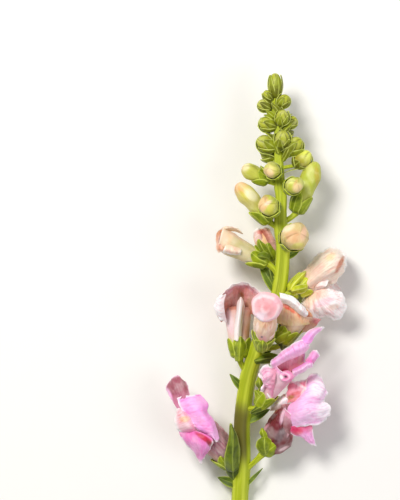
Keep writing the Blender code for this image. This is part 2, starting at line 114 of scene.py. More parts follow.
def srgb(colour: Colour) -> Array:
    """Return the linear colour of an sRGB colour given in 0 to 255."""
    shares = [part / 255 for part in colour]
    return np.array([share / 12.92 if share <= 0.04045 else ((share + 0.055) / 1.055) ** 2.4
                     for share in shares])


def blend(start: Array, end: Array, share: Array) -> Array:
    """Return start mixed with end by a share from 0 to 1."""
    return start * (1 - share) + end * share


def ease(values: Array, low: float, high: float) -> Array:
    """Return a smooth step of values from 0 at low to 1 at high."""
    share = np.clip((values - low) / (high - low), 0, 1)
    return share * share * (3 - 2 * share)


def unit(vector: Array) -> Array:
    """Return vectors, along the last axis, at length 1."""
    return vector / np.maximum(np.linalg.norm(vector, axis=-1, keepdims=True), 1e-9)


def grid(columns: int, rows: int) -> tuple[Array, Array]:
    """Return places across a leaf or lobe from -1 to 1, and places along it from 0 to 1."""
    return np.linspace(-1, 1, columns + 1)[:, None], np.linspace(0, 1, rows + 1)[None, :]


def full_turn(count: int) -> Array:
    """Return evenly spaced angles of one full turn."""
    return np.arange(count) * math.tau / count


def curve(knots: Array, t: Array) -> Array:
    """Return the Catmull-Rom curve between the middle two of four knots, at t from 0 to 1."""
    before, start, end, after = knots
    return 0.5 * (2 * start + (end - before) * t + (2 * before - 5 * start + 4 * end - after) * t ** 2
                  + (3 * start - before - 3 * end + after) * t ** 3)


def padded(rows: Array) -> Array:
    """Return rows with one more at each end, carried on in a straight line."""
    return np.concatenate([2 * rows[:1] - rows[1:2], rows, 2 * rows[-1:] - rows[-2:-1]])


def smooth_path(points: Array | tuple, count: int) -> Array:
    """Return evenly spaced rows of a Catmull-Rom curve through rows of x, y, z and more values."""
    knots = padded(np.array(points, dtype=float))
    t = np.linspace(0, 1, PATH_STEPS, endpoint=False)[:, None]
    rows = np.vstack([curve(knots[index:index + 4], t) for index in range(len(points) - 1)]
                     + [knots[-2:-1]])
    steps = np.linalg.norm(np.diff(rows[:, :3], axis=0), axis=1)
    travel = np.concatenate([[0], np.cumsum(steps)])
    places = np.linspace(0, travel[-1], count)
    return np.column_stack([np.interp(places, travel, column) for column in rows.T])


def stem_at(y: float) -> Array:
    """Return the middle of the main stem at a height y along it."""
    path = smooth_path(STEM_PATH, 80)
    return np.array([np.interp(y, path[:, 1], column) for column in path.T[:3]])


def rings(path: Array, angles: Array) -> Array:
    """Return unit vectors across a path, by angle and by row, carried along it without a twist."""
    tangents = unit(np.gradient(path[:, :3], axis=0))
    side = np.cross(tangents[0], (0.0, 0.0, 1.0))
    if np.linalg.norm(side) < 0.1:
        side = np.cross(tangents[0], (0.0, 1.0, 0.0))
    sides = []
    for tangent in tangents:
        side = side - tangent * side.dot(tangent)
        side = side / np.linalg.norm(side)
        sides.append(side)
    sides = np.array(sides)
    ups = np.cross(sides, tangents)
    return np.cos(angles)[:, None, None] * sides + np.sin(angles)[:, None, None] * ups


def wander(points: Array, scale: float, seed: float) -> Array:
    """Return smooth noise from -1 to 1 at each point, with features of a size in millimetres."""
    flat = points.reshape(-1, 3) / scale + seed
    return np.array([noise.noise(Vector(row)) for row in flat]).reshape(points.shape[:-1])


def seen(column: float, row: float, height: float) -> Point:
    """Return the point, at a height in millimetres, that shows at a column and row of the picture."""
    scale = PIXEL * (CAMERA_HEIGHT - height) / (CAMERA_HEIGHT - FOCUS_HEIGHT)
    return (VIEW_CENTRE[0] + (column - PICTURE_CENTRE[0]) * scale,
            VIEW_CENTRE[1] - (row - PICTURE_CENTRE[1]) * scale, height)


def picture_net(net: Net) -> Array:
    """Return the points of a net that is given by columns and rows of the picture and heights."""
    return np.array([[seen(*point) for point in row] for row in net])


def spread(net: Array, count: int) -> Array:
    """Run Catmull-Rom curves through the first axis of a net, and return that many rows of them."""
    place = np.linspace(0, len(net) - 1, count)
    index = np.minimum(place.astype(int), len(net) - 2)
    t = (place - index).reshape((-1,) + (1,) * (net.ndim - 1))
    knots = padded(net)
    return curve([knots[index + shift] for shift in range(4)], t)


def draped(net: Array, columns: int, rows: int) -> tuple[Array, Array]:
    """Return the points and upward unit normals of a grid of faces laid through a net of points."""
    points = spread(spread(net, rows + 1).transpose(1, 0, 2), columns + 1)
    normals = np.cross(np.gradient(points, axis=0), np.gradient(points, axis=1))
    if normals[..., 2].mean() < 0:
        points, normals = points[::-1], -normals[::-1]
    return points, unit(normals)


def numbers(items: bpy.types.bpy_prop_collection, key: str, width: int) -> Array:
    """Return one property of every item as rows of this many numbers."""
    flat = np.zeros(len(items) * width, np.float32)
    items.foreach_get(key, flat)
    return flat.reshape(-1, width)


class Side(Enum):
    """Which face of a petal a tint is on."""

    OUTSIDE = 0
    INSIDE = 1


class Workbench:
    """The way in which every piece is laid out, welded, thickened and finished."""

    @staticmethod
    def clear() -> None:
        """Deselect everything, so that the next operator acts on new work alone."""
        if bpy.context.object and bpy.context.object.mode != "OBJECT":
            bpy.ops.object.mode_set(mode="OBJECT")
        bpy.ops.object.select_all(action="DESELECT")

    @classmethod
    def pick(cls, *things: Thing) -> None:
        """Select these objects alone, and make the first one active."""
        cls.clear()
        for thing in things:
            thing.select_set(True)
        bpy.context.view_layer.objects.active = things[0]

    @staticmethod
    def work_mesh(operator: Callable, **settings: object) -> None:
        """Run a mesh operator on the whole of the active mesh."""
        bpy.ops.object.mode_set(mode="EDIT")
        bpy.ops.mesh.select_all(action="SELECT")
        operator(**settings)
        bpy.ops.object.mode_set(mode="OBJECT")

    @classmethod
    def sheet(cls, name: str, points: Array, wrap: bool, marks: dict[str, Array]) -> Thing:
        """Add a grid, lay it over points, and weld what meets.

        Args:
            name: the name of the piece.
            points: columns by rows of x, y and z in millimetres.
            wrap: whether the last column joins the first.
            marks: values or colours for each point, stored as attributes for the materials.

        Returns:
            The new object, which is still a sheet without thickness.
        """
        cls.clear()
        columns, rows = points.shape[0] - (0 if wrap else 1), points.shape[1] - 1
        bpy.ops.mesh.primitive_grid_add(x_subdivisions=columns, y_subdivisions=rows, size=1.0,
                                        location=(0, 0, 0))
        thing = bpy.context.active_object
        mesh = thing.data
        thing.name = mesh.name = name
        flat = numbers(mesh.vertices, "co", 3)
        column = np.rint((flat[:, 0] + 0.5) * columns).astype(int) % points.shape[0]
        row = np.rint((flat[:, 1] + 0.5) * rows).astype(int)
        placed = points[column, row].copy()
        placed[:, 2] = np.maximum(placed[:, 2], FLOOR_GAP)
        mesh.vertices.foreach_set("co", (placed * MM).astype(np.float32).ravel())
        for mark, values in marks.items():
            chosen = values[column, row]
            if chosen.ndim == 1:
                layer = mesh.attributes.new(mark, "FLOAT", "POINT")
                layer.data.foreach_set("value", chosen.astype(np.float32))
            else:
                layer = mesh.attributes.new(mark, "FLOAT_COLOR", "POINT")
                opaque = np.column_stack([chosen, np.ones(len(chosen))])
                layer.data.foreach_set("color", opaque.astype(np.float32).ravel())
        mesh.update()
        cls.work_mesh(bpy.ops.mesh.remove_doubles, threshold=WELD)
        return thing

    @classmethod
    def thicken(cls, thing: Thing, thickness: float, thinning: float = 0.5) -> None:
        """Give a sheet its thickness, with a thinner free edge, and mark its inner face.

        Args:
            thing: the sheet, with an attribute named edge that is 1 at its free edge.
            thickness: its thickness in millimetres away from the edge.
            thinning: the share of the thickness that is left at the edge.
        """
        cls.pick(thing)
        group = thing.vertex_groups.new(name="body")
        for index, item in enumerate(thing.data.attributes["edge"].data):
            group.add([index], 1 - (1 - thinning) * item.value, "REPLACE")
        wall = thing.modifiers.new("wall", "SOLIDIFY")
        wall.thickness = thickness * MM
        wall.offset = 0.0
        wall.vertex_group = group.name
        middle = numbers(thing.data.vertices, "co", 3)
        normals = numbers(thing.data.vertices, "normal", 3)
        bpy.ops.object.modifier_apply(modifier=wall.name)
        moved = numbers(thing.data.vertices, "co", 3)[:len(middle)]
        first = 0.0 if ((moved - middle) * normals).sum(axis=1).mean() > 0 else 1.0
        inside = np.full(len(thing.data.vertices), 1.0 - first, np.float32)
        inside[:len(middle)] = first
        thing.data.attributes.new("inside", "FLOAT", "POINT").data.foreach_set("value", inside)

    @classmethod
    def petal(cls, name: str, node: str, points: Array, wrap: bool, edge: Array,
              paint: Callable[[Side], Array], finish: "PetalFinish",
              thickness: float = PETAL_THICKNESS, outward: bool = False) -> Thing:
        """Model a petal that has its own tint on each face, and dress it.

        Args:
            name: the name of the piece.
            node: the node of the model that it stands for.
            points: columns by rows of x, y and z in millimetres.
            wrap: whether the last column joins the first.
            edge: 1 at the free edge, 0 away from it.
            paint: what returns the colours of one face.
            finish: the finish that it wears.
            thickness: its thickness in millimetres.
            outward: whether its normals have to be turned outwards first.

        Returns:
            The finished piece.
        """
        marks = {"edge": edge, "tint": paint(Side.OUTSIDE), "lining": paint(Side.INSIDE)}
        thing = cls.sheet(name, points, wrap, marks)
        if outward:
            cls.pick(thing)
            cls.work_mesh(bpy.ops.mesh.normals_make_consistent, inside=False)
        cls.thicken(thing, thickness)
        layers = thing.data.attributes
        tint, lining = (numbers(layers[mark].data, "color", 4) for mark in ("tint", "lining"))
        inside = numbers(layers["inside"].data, "value", 1)
        layers["tint"].data.foreach_set("color", blend(tint, lining, inside).ravel())
        layers.remove(layers["lining"])
        return cls.finish(thing, finish, (node,), "pink_petal")

    @classmethod
    def blade(cls, name: str, points: Array, edge: Array, keel: Array, thickness: float,
              thinning: float) -> Thing:
        """Model a sepal or bract with a thinner margin and a keel, not dressed yet."""
        flat = np.zeros(points.shape[:2])
        thing = cls.sheet(name, points, False, {"edge": edge + flat, "keel": keel + flat})
        cls.thicken(thing, thickness, thinning)
        return thing

    @classmethod
    def join(cls, name: str, things: list[Thing]) -> Thing:
        """Join several objects into one piece of this name."""
        cls.pick(*things)
        bpy.ops.object.join()
        things[0].name = things[0].data.name = name
        return things[0]

    @classmethod
    def finish(cls, thing: Thing, finish: "Finish", nodes: tuple[str, ...] = ("stem",),
               slot: str = "green_stem") -> Thing:
        """Smooth a piece, give it its material, attach it to the body, and hide the nodes of the model that
        it stands for.
        """
        cls.pick(thing)
        bpy.ops.object.shade_smooth()
        thing.data.materials.clear()
        thing.data.materials.append(finish.make())
        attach(thing, BODY)
        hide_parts(*nodes)
        LOG.info("%s: %d faces", thing.name, len(thing.data.polygons))
        return thing


class Value:
    """A shader socket on which Python operators build Math nodes."""

    def __init__(self, shader: "Shader", socket: Socket) -> None:
        """Keep the shader and the socket."""
        self.shader = shader
        self.socket = socket

    def maths(self, operation: str, *terms: "Value | float") -> "Value":
        """Add a Math node for two terms."""
        return self.shader.value("ShaderNodeMath", {"operation": operation}, dict(enumerate(terms)))

    def __add__(self, other: "Value | float") -> "Value":
        """Return self + other."""
        return self.maths("ADD", self, other)

    def __sub__(self, other: "Value | float") -> "Value":
        """Return self - other."""
        return self.maths("SUBTRACT", self, other)

    def __rsub__(self, other: "Value | float") -> "Value":
        """Return other - self."""
        return self.maths("SUBTRACT", other, self)

    def __mul__(self, other: "Value | float") -> "Value":
        """Return self * other."""
        return self.maths("MULTIPLY", self, other)

    __radd__ = __add__

    def stepped(self, low: float, high: float, start: float = 0.0, end: float = 1.0) -> "Value":
        """Return a smooth, clamped step from start at low to end at high."""
        return self.shader.value("ShaderNodeMapRange", {"interpolation_type": "SMOOTHSTEP"},
                                 {"Value": self, "From Min": low, "From Max": high, "To Min": start,
                                  "To Max": end})


class Shader:
    """One material and the short ways to add nodes to it."""

    def __init__(self, name: str) -> None:
        """Make an empty material with its Principled shader."""
        self.material = bpy.data.materials.new(name)
        self.material.use_nodes = True
        self.tree = self.material.node_tree
        self.surface = self.tree.nodes["Principled BSDF"]

    def node(self, kind: str, settings: dict, inputs: dict) -> bpy.types.Node:
        """Add a node, and set or link its sockets, which inputs gives by name or number."""
        node = self.tree.nodes.new(kind)
        for key, setting in settings.items():
            setattr(node, key, setting)
        for key, value in inputs.items():
            self.plug(node.inputs[key], value)
        return node

    def plug(self, target: Socket, value: object) -> None:
        """Link a value or socket to a target socket, or set the socket's own value."""
        if isinstance(value, Value):
            value = value.socket
        if isinstance(value, Socket):
            self.tree.links.new(value, target)
        elif isinstance(value, np.ndarray):
            target.default_value = (*value, 1.0)
        else:
            target.default_value = value

    def value(self, kind: str, settings: dict, inputs: dict, output: int | str = 0) -> Value:
        """Add a node and return one of its outputs as a value."""
        return Value(self, self.node(kind, settings, inputs).outputs[output])

    def mark(self, name: str) -> Value:
        """Return a number stored on the mesh."""
        return self.value("ShaderNodeAttribute", {"attribute_name": name}, {}, "Fac")

    def tint(self) -> Socket:
        """Return the colour stored on the mesh."""
        return self.node("ShaderNodeAttribute", {"attribute_name": "tint"}, {}).outputs["Color"]

    def mix(self, factor: Value | float, first: object, second: Socket | Colour,
            way: str = "MIX") -> Socket:
        """Return a mix of a first colour and a second, which may be given in 0 to 255."""
        second = srgb(second) if isinstance(second, tuple) else second
        return self.node("ShaderNodeMix", {"data_type": "RGBA", "blend_type": way},
                         {0: factor, 6: first, 7: second}).outputs[2]

    def noise(self, scale: float, detail: float = 3.0, rough: float = 0.6,
              stretch: Point | None = None) -> Value:
        """Return noise from 0 to 1 over the piece, or over its unwrapped face, stretched, if asked."""
        where = self.node("ShaderNodeTexCoord", {}, {}).outputs["Object" if stretch is None else "UV"]
        if stretch is not None:
            where = self.node("ShaderNodeMapping", {}, {"Vector": where, "Scale": stretch}).outputs[0]
        return self.value("ShaderNodeTexNoise", {}, {"Vector": where, "Scale": scale, "Detail": detail,
                                                     "Roughness": rough}, "Fac")

    def relief(self, height: Value, depth: float, strength: float) -> None:
        """Feed a height, in metres when multiplied by depth, to the surface's normal."""
        bump = self.node("ShaderNodeBump", {}, {"Height": height, "Distance": depth,
                                                "Strength": strength})
        self.tree.links.new(bump.outputs[0], self.surface.inputs["Normal"])

    def dress(self, **sockets: object) -> None:
        """Set or link the surface's sockets, with underscores for spaces in their names."""
        for key, value in sockets.items():
            self.plug(self.surface.inputs[key.replace("_", " ")], value)

    def tissue(self, colour: Socket, roughness: Value, specular: float, soft: tuple[float, float],
               glow: Point, sheen: float = 0.15) -> None:
        """Dress the surface as plant tissue, with soft as how much light sinks in and how far."""
        self.dress(Base_Color=colour, Roughness=roughness, Specular_IOR_Level=specular,
                   Subsurface_Weight=soft[0], Subsurface_Scale=soft[1], Subsurface_Radius=glow,
                   Sheen_Weight=sheen, Sheen_Roughness=0.3)


@dataclass(frozen=True)
class PetalFinish:
    """The finish of open petals: painted tints, veins that run to the edge and a soft sheen."""

    name: str
    vein_colour: Colour
    vein_strength: float
    veins: float
    roughness: float = 0.5

    def make(self) -> bpy.types.Material:
        """Return the material."""
        shader = Shader(self.name)
        streaks = shader.noise(1.0, stretch=(self.veins, 2.2, 1.0))
        cells, mottle = shader.noise(900.0), shader.noise(190.0, 2.0, 0.5)
        edge = shader.mark("edge")
        vein = streaks.stepped(0.52, 0.72) * (1.0 - edge.stepped(0.75, 1.0)) * self.vein_strength
        veined = shader.mix(vein, shader.tint(), self.vein_colour, "MULTIPLY")
        shaded = shader.mix(mottle.stepped(0.35, 0.7, 0.0, 0.22), veined, (255, 250, 252))
        shader.tissue(shaded, self.roughness + cells * 0.2 - edge * 0.08, 0.45, (0.15, 0.0009),
                      (1.0, 0.55, 0.6))
        shader.relief(streaks * 0.7 + cells * 0.3, 0.00018, 0.55)
        return shader.material


@dataclass(frozen=True)
class BudFinish:
    """The finish of closed buds: painted tints, faint ribs and a waxy sheen."""

    name: str
    vein_colour: Colour

    def make(self) -> bpy.types.Material:
        """Return the material."""
        shader = Shader(self.name)
        streaks = shader.noise(1.0, stretch=(44.0, 2.0, 1.0))
        mottle = shader.noise(260.0, 3.0, 0.55)
        veined = shader.mix(streaks.stepped(0.5, 0.75, 0.0, 0.35), shader.tint(), self.vein_colour,
                            "MULTIPLY")
        lighter = shader.mix(mottle.stepped(0.45, 0.7, 0.0, 0.2), veined, (255, 250, 200))
        seamed = shader.mix(shader.mark("seam") * 0.45, lighter, (150, 130, 60), "MULTIPLY")
        shader.tissue(seamed, mottle * 0.15 + 0.42, 0.5, (0.2, 0.0012), (1.0, 0.8, 0.4), 0.25)
        shader.relief(streaks * 0.6 + mottle * 0.4, 0.0002, 0.5)
        return shader.material


@dataclass(frozen=True)
class LeafFinish:
    """The finish of sepals and bracts: green with a keel line, a pale margin and fine veins."""

    name: str
    body: Colour
    shade: Colour
    margin: Colour

    def make(self) -> bpy.types.Material:
        """Return the material."""
        shader = Shader(self.name)
        streaks = shader.noise(1.0, stretch=(26.0, 3.0, 1.0))
        mottle = shader.noise(220.0)
        colour = shader.mix(mottle.stepped(0.35, 0.65), srgb(self.body), self.shade)
        colour = shader.mix(streaks.stepped(0.5, 0.7, 0.0, 0.5), colour, self.shade)
        for share in (shader.mark("keel").stepped(0.5, 1.0, 0.0, 0.45),
                      shader.mark("edge").stepped(0.72, 1.0, 0.0, 0.8), shader.mark("inside") * 0.35):
            colour = shader.mix(share, colour, self.margin)
        shader.tissue(colour, mottle * 0.2 + 0.42, 0.35, (0.12, 0.0008), (0.8, 1.0, 0.3))
        shader.relief(streaks * 0.6 + mottle * 0.4, 0.0002, 0.6)
        return shader.material


@dataclass(frozen=True)
class StemFinish:
    """The finish of the stem and stalks: streaks along it, paler ridges, fine down and a painted shadow."""

    name: str
    body: Colour
    shade: Colour
    light: Colour
    aged: Colour

    def make(self) -> bpy.types.Material:
        """Return the material."""
        shader = Shader(self.name)
        streaks = shader.noise(1.0, 4.0, stretch=(34.0, 7.0, 1.0))
        broad = shader.noise(1.0, 2.0, 0.5, (7.0, 2.5, 1.0))
        specks = shader.noise(1300.0, 2.0)
        colour = shader.mix(broad.stepped(0.3, 0.7), srgb(self.body), self.shade)
        colour = shader.mix(streaks.stepped(0.45, 0.7, 0.0, 0.6), colour, self.light)
        colour = shader.mix(shader.mark("keel") * 0.5, colour, self.light)
        # The edge attribute of the stem carries a painted shadow, which darkens it towards this colour.
        colour = shader.mix(shader.mark("edge"), colour, self.aged)
        shader.tissue(colour, specks * 0.2 + 0.42, 0.35, (0.12, 0.001), (0.8, 1.0, 0.3))
        shader.relief(streaks * 0.7 + specks * 0.3, 0.00025, 0.6)
        return shader.material


@dataclass(frozen=True)
class PlainFinish:
    """The finish of stamens and of the table: one colour with a faint grain."""

    name: str
    colour: Colour
    grain: float
    scale: float
    roughness: float

    def make(self) -> bpy.types.Material:
        """Return the material."""
        shader = Shader(self.name)
        grain = shader.noise(self.scale)
        colour = srgb(self.colour)
        shader.dress(Base_Color=shader.mix(grain, colour, colour * (1 - self.grain)),
                     Roughness=grain * 0.1 + self.roughness)
        return shader.material


Finish = PetalFinish | BudFinish | LeafFinish | StemFinish | PlainFinish

# The stem skin's last colour is the colour of a painted shadow.
STEM_SKIN = StemFinish("stem_skin", (176, 190, 22), (150, 162, 12), (212, 220, 70), (88, 78, 26))
SEPAL_SKIN = LeafFinish("sepal_skin", (158, 174, 14), (108, 124, 8), (222, 232, 100))
# LIT_SEPAL_SKIN and SHADED_SEPAL_SKIN are lit and shaded copies of the sepal finish: painted light and
# painted shade.
LIT_SEPAL_SKIN = LeafFinish("lit_sepal_skin", (212, 218, 54), (166, 176, 22), (244, 248, 160))
SHADED_SEPAL_SKIN = LeafFinish("dark_sepal_skin", (112, 130, 18), (68, 84, 8), (190, 204, 90))
GREEN_SEPAL_SKIN = LeafFinish("green_sepal_skin", (146, 156, 22), (98, 100, 8), (220, 230, 116))
BRACT_SKIN = LeafFinish("bract_skin", (112, 134, 16), (72, 92, 8), (186, 200, 70))
CREAM_SKIN = BudFinish("cream_bud_skin", (214, 206, 96))
GREEN_CORE_SKIN = BudFinish("green_bud_skin", (176, 180, 40))
PEACH_PETALS = PetalFinish("peach_petals", (238, 150, 150), 0.3, 46.0)
PINK_PETALS = PetalFinish("pink_petals", (236, 120, 185), 0.3, 60.0)
PEACH_LOBES = PetalFinish("peach_lobes", (240, 160, 160), 0.5, 17.0, 0.42)
PINK_LOBES = PetalFinish("pink_lobes", (238, 130, 200), 0.45, 19.0, 0.42)
ORANGE_THREAD = PlainFinish("filament_skin", (235, 140, 90), 0.15, 900.0, 0.4)
ANTHER_SKIN = PlainFinish("anther_skin", (240, 205, 80), 0.2, 1200.0, 0.6)
TABLE_SKIN = PlainFinish("table_skin", (243, 241, 238), 0.02, 40.0, 0.7)


@dataclass(frozen=True)
class Spot:
    """A soft oval patch of colour, placed and sized in columns and rows of the picture."""

    column: float
    row: float
    across: float
    along: float
    colour: Colour
    strength: float = 1.0
    turn: float = 0.0

    def weight(self, points: Array) -> Array:
        """Return how much of the patch each point takes, from 0 to 1."""
        x, y, _ = seen(self.column, self.row, SPOT_HEIGHT)
        angle = math.radians(self.turn)
        dx, dy = points[..., 0] - x, points[..., 1] - y
        along = dx * math.cos(angle) + dy * math.sin(angle)
        across = -dx * math.sin(angle) + dy * math.cos(angle)
        far = np.sqrt((along / (self.along * PIXEL)) ** 2 + (across / (self.across * PIXEL)) ** 2)
        return self.strength * (1 - ease(far, 0.45, 1.0))


def touched(colour: Array, points: Array, spots: tuple[Spot, ...]) -> Array:
    """Return the colours of points after each spot is laid over them in turn."""
    for spot in spots:
        colour = blend(colour, srgb(spot.colour), spot.weight(points)[..., None])
    return colour


@dataclass(frozen=True)
class Floret:
    """Where one flower or bud sits: its base, its mouth or tip, and the way its back faces."""

    name: str
    base: Point
    mouth: Point
    dorsal: Point
    girth: float
    joins: float

    @property
    def length(self) -> float:
        """Return the length from the base to the mouth, or to the tip of a bud."""
        return float(np.linalg.norm(np.subtract(self.mouth, self.base)))

    def axes(self) -> tuple[Array, Array, Array]:
        """Return the lateral, dorsal and axial unit vectors."""
        axial = unit(np.subtract(self.mouth, self.base))
        hint = np.array(self.dorsal, dtype=float)
        dorsal = unit(hint - axial * hint.dot(axial))
        return np.cross(dorsal, axial), dorsal, axial

    def lay(self, x: Array, y: Array, z: Array) -> Array:
        """Turn coordinates along the floret's axes into points of the whole stem."""
        lateral, dorsal, axial = self.axes()
        return (np.array(self.base) + x[..., None] * lateral + y[..., None] * dorsal
                + z[..., None] * axial)

    def turned(self, angles: Array, radius: Array, along: Array) -> Array:
        """Return points at angles round the axis, at a radius from it and a distance along it."""
        return self.lay(radius * np.cos(angles), radius * np.sin(angles), along)

    def tube_radius(self, along: Array, length: float) -> Array:
        """Return the radius of a corolla tube at distances along it from its round base."""
        swell = np.clip(along / length, 0, None) ** 0.8
        closing = 1 - np.clip(1 - along / 1.6, 0, 1) ** 2
        return self.girth * (2.7 + 2.9 * swell) * np.sqrt(np.clip(closing, 0, 1))


@dataclass(frozen=True)
class Rim:
    """The oval edge of a mouth: its middle, its reach at 0 and 90 degrees, and how far it is led on."""

    middle: Point
    side: Point
    top: Point
    lift: float


def collar(seat: Floret, spread: float, ahead: float) -> Rim:
    """Return an edge that stands out from the tube by spread, and ahead of the mouth by ahead."""
    lateral, dorsal, axial = seat.axes()
    reach = float(seat.tube_radius(np.array(seat.length), seat.length)) + spread
    return Rim(tuple(ahead * axial), tuple(reach * lateral), tuple(reach * dorsal), ahead * 0.6)


@dataclass(frozen=True)
class PetalTint:
    """The colours of the tube of one open flower."""

    tube: Colour
    lip: Colour
    rim: Colour
    throat: Colour


@dataclass(frozen=True)
class Corolla:
    """The tube of an open flower, with a short edge round its mouth under the separate lobes."""

    seat: Floret
    tint: PetalTint
    seed: float
    finish: PetalFinish = PEACH_PETALS
    spread: float = 0.6
    ahead: float = 2.2
    edge: Rim | None = None
    spots: tuple[Spot, ...] = ()
    columns: int = 128
    tube_rows: int = 22
    lip_rows: int = 20

    def surface(self, places: Array) -> Array:
        """Return the petal surface, round the mouth and at places from base to edge."""
        seat = self.seat
        edge = self.edge or collar(seat, self.spread, self.ahead)
        middle, side, top = (np.array(item, dtype=float) for item in (edge.middle, edge.side, edge.top))
        angles = full_turn(self.columns)[:, None]
        along = np.minimum(places, 1.0)[None, :] * seat.length
        ring = seat.turned(angles, seat.tube_radius(along, seat.length), along)
        bend = ring + seat.axes()[2] * edge.lift
        tip = (np.array(seat.mouth) + middle + np.cos(angles) * side + np.sin(angles) * top)[:, None, :]
        t = np.clip(places - 1, 0, 1)[None, :, None]
        points = ring * (1 - t) ** 2 + bend * (2 * t * (1 - t)) + tip * t ** 2
        around = np.roll(points, -1, axis=0) - np.roll(points, 1, axis=0)
        normals = unit(np.cross(around, np.gradient(points, axis=1)))
        rise = 0.55 * wander(points, 5.5, self.seed) + 0.22 * wander(points, 2.2, self.seed + 9)
        return points + normals * (rise * ease(places, 0.35, 1.2)[None, :])[..., None]

    def paint(self, points: Array, places: Array, side: Side) -> Array:
        """Return the colour of each point on one face of the petals."""
        start, out = self.tint.tube, ease(places, 0.75, 1.35)
        if side is Side.INSIDE:
            start, out = self.tint.throat, ease(places, 0.95, 1.5) / 2
        colour = blend(srgb(start), srgb(self.tint.lip), out[None, :, None])
        near_base = (1 - ease(places, 0.1, 0.55))[None, :, None] + 0 * points[..., :1]
        colour = blend(colour, srgb(TUBE_BASE), near_base)
        if side is Side.OUTSIDE:
            colour = touched(colour, points, self.spots)
        # The pale rim: partly own colour, partly painted highlight on the thin edge.
        rim = ease(places, 1.84, 1.99)[None, :, None] * RIM_STRENGTH
        return blend(colour, srgb(self.tint.rim), rim)

    def build(self) -> Thing:
        """Model the flower and dress it."""
        places = np.concatenate([np.linspace(0, 1, self.tube_rows) ** 1.3,
                                 1 + np.linspace(0, 1, self.lip_rows + 1)[1:]])
        points = self.surface(places)
        points[..., 2] = np.maximum(points[..., 2], FLOOR_GAP + PETAL_THICKNESS / 2)
        edge = np.clip(places - 1, 0, 1)[None, :] + 0 * points[..., 0]
        return Workbench.petal(self.seat.name + "_petals", self.seat.name, points, True, edge,
                               partial(self.paint, points, places), self.finish)


@dataclass(frozen=True)
class LobeTint:
    """The colours of one separate lobe: where it starts, its body and its free edge."""

    root: Colour
    body: Colour
    rim: Colour
    under: Colour
    rim_width: float = 0.08

    def start(self, out: Array, side: Side) -> Array:
        """Return the colours of one face at shares of the way out from the root."""
        return blend(srgb(self.root), srgb(self.body if side is Side.OUTSIDE else self.under), out)


def node_of(name: str) -> str:
    """Return the node that a lobe stands for, which is the first three words of its name."""
    return "_".join(name.split("_")[:3])


@dataclass(frozen=True)
class Lobe:
    """One lobe of a lip, laid through a small net of points from its root to its free edge."""

    name: str
    net: Net
    tint: LobeTint
    ruffle: float
    crumple: float
    seed: float
    finish: PetalFinish = PEACH_LOBES
    veining: float = 0.8
    spots: tuple[Spot, ...] = ()

    def build(self) -> Thing:
        """Model the lobe and dress it."""
        net = picture_net(self.net)
        long_way, wide_way = (np.linalg.norm(np.diff(net, axis=axis), axis=2).sum(axis=axis).max()
                              for axis in (0, 1))
        rows, columns = (int(np.clip(way / LOBE_SPACING, *LOBE_FACES)) for way in (long_way, wide_way))
        points, normals = draped(net, columns, rows)
        across, along = grid(columns, rows)
        border = np.maximum(np.abs(across) * ease(along, 0.0, 0.25), along)
        free = ease(along, 0.05, 0.5)
        flat = np.zeros(points.shape)
        flat[..., 0] = np.linspace(0, wide_way, columns + 1)[:, None]
        flat[..., 1] = np.linspace(0, long_way, rows + 1)[None, :]
        groove = np.exp(-(wander(flat / (1, 5.5, 1), 1.5, self.seed) / 0.09) ** 2) * free
        rise = self.crumple * (2.2 * wander(flat / (1, 3.0, 1), 3.2, self.seed + 5) * free
                               - 0.55 * groove + 0.5 * wander(points, 1.3, self.seed + 7))
        rise = rise + 2.2 * self.ruffle * wander(points, 2.4, self.seed) * border ** 3 * free
        ragged = wander(points, 1.2, self.seed + 3) * ease(border, 0.85, 1.0) * free
        outward = unit(points - points[columns // 2, rows // 2])
        points = points + normals * rise[..., None] + outward * (0.35 * ragged)[..., None]
        return Workbench.petal(self.name, node_of(self.name), points, False, border,
                               partial(self.paint, points, border, groove), self.finish)

    def paint(self, points: Array, border: Array, groove: Array, side: Side) -> Array:
        """Return the colour of each point on one face of the lobe."""
        out = ease(np.linspace(0, 1, border.shape[1]), 0.0, 0.55)[None, :, None]
        colour = self.tint.start(out, side)
        if side is Side.OUTSIDE:
            colour = touched(colour, points, self.spots)
        vein = (0.5 * self.veining * groove)[..., None]
        colour = blend(colour, colour * srgb(self.finish.vein_colour), vein)
        # The pale rim: partly own colour, partly painted highlight on the thin edge.
        rim = ease(border, 1 - 2 * self.tint.rim_width, 1.0)[..., None] * RIM_STRENGTH
        return blend(colour, srgb(self.tint.rim), rim)


@dataclass(frozen=True)
class Leaf:
    """A sepal or bract laid through a small net of points from its root to its tip."""

    name: str
    net: Net
    finish: LeafFinish
    seed: float
    columns: int = 16
    rows: int = 26

    def build(self) -> Thing:
        """Model the leaf and dress it."""
        points, normals = draped(picture_net(self.net), self.columns, self.rows)
        across, along = grid(self.columns, self.rows)
        rise = 0.35 * wander(points, 3.0, self.seed) + 0.2 * np.exp(-(across / 0.2) ** 2) * (1 - along)
        points = points + normals * rise[..., None]
        edge = np.maximum(np.abs(across) * ease(along, 0.0, 0.15), ease(along, 0.86, 1.0))
        thing = Workbench.blade(self.name, points, edge, np.exp(-(across / 0.13) ** 2), 0.5, 0.6)
        return Workbench.finish(thing, self.finish)


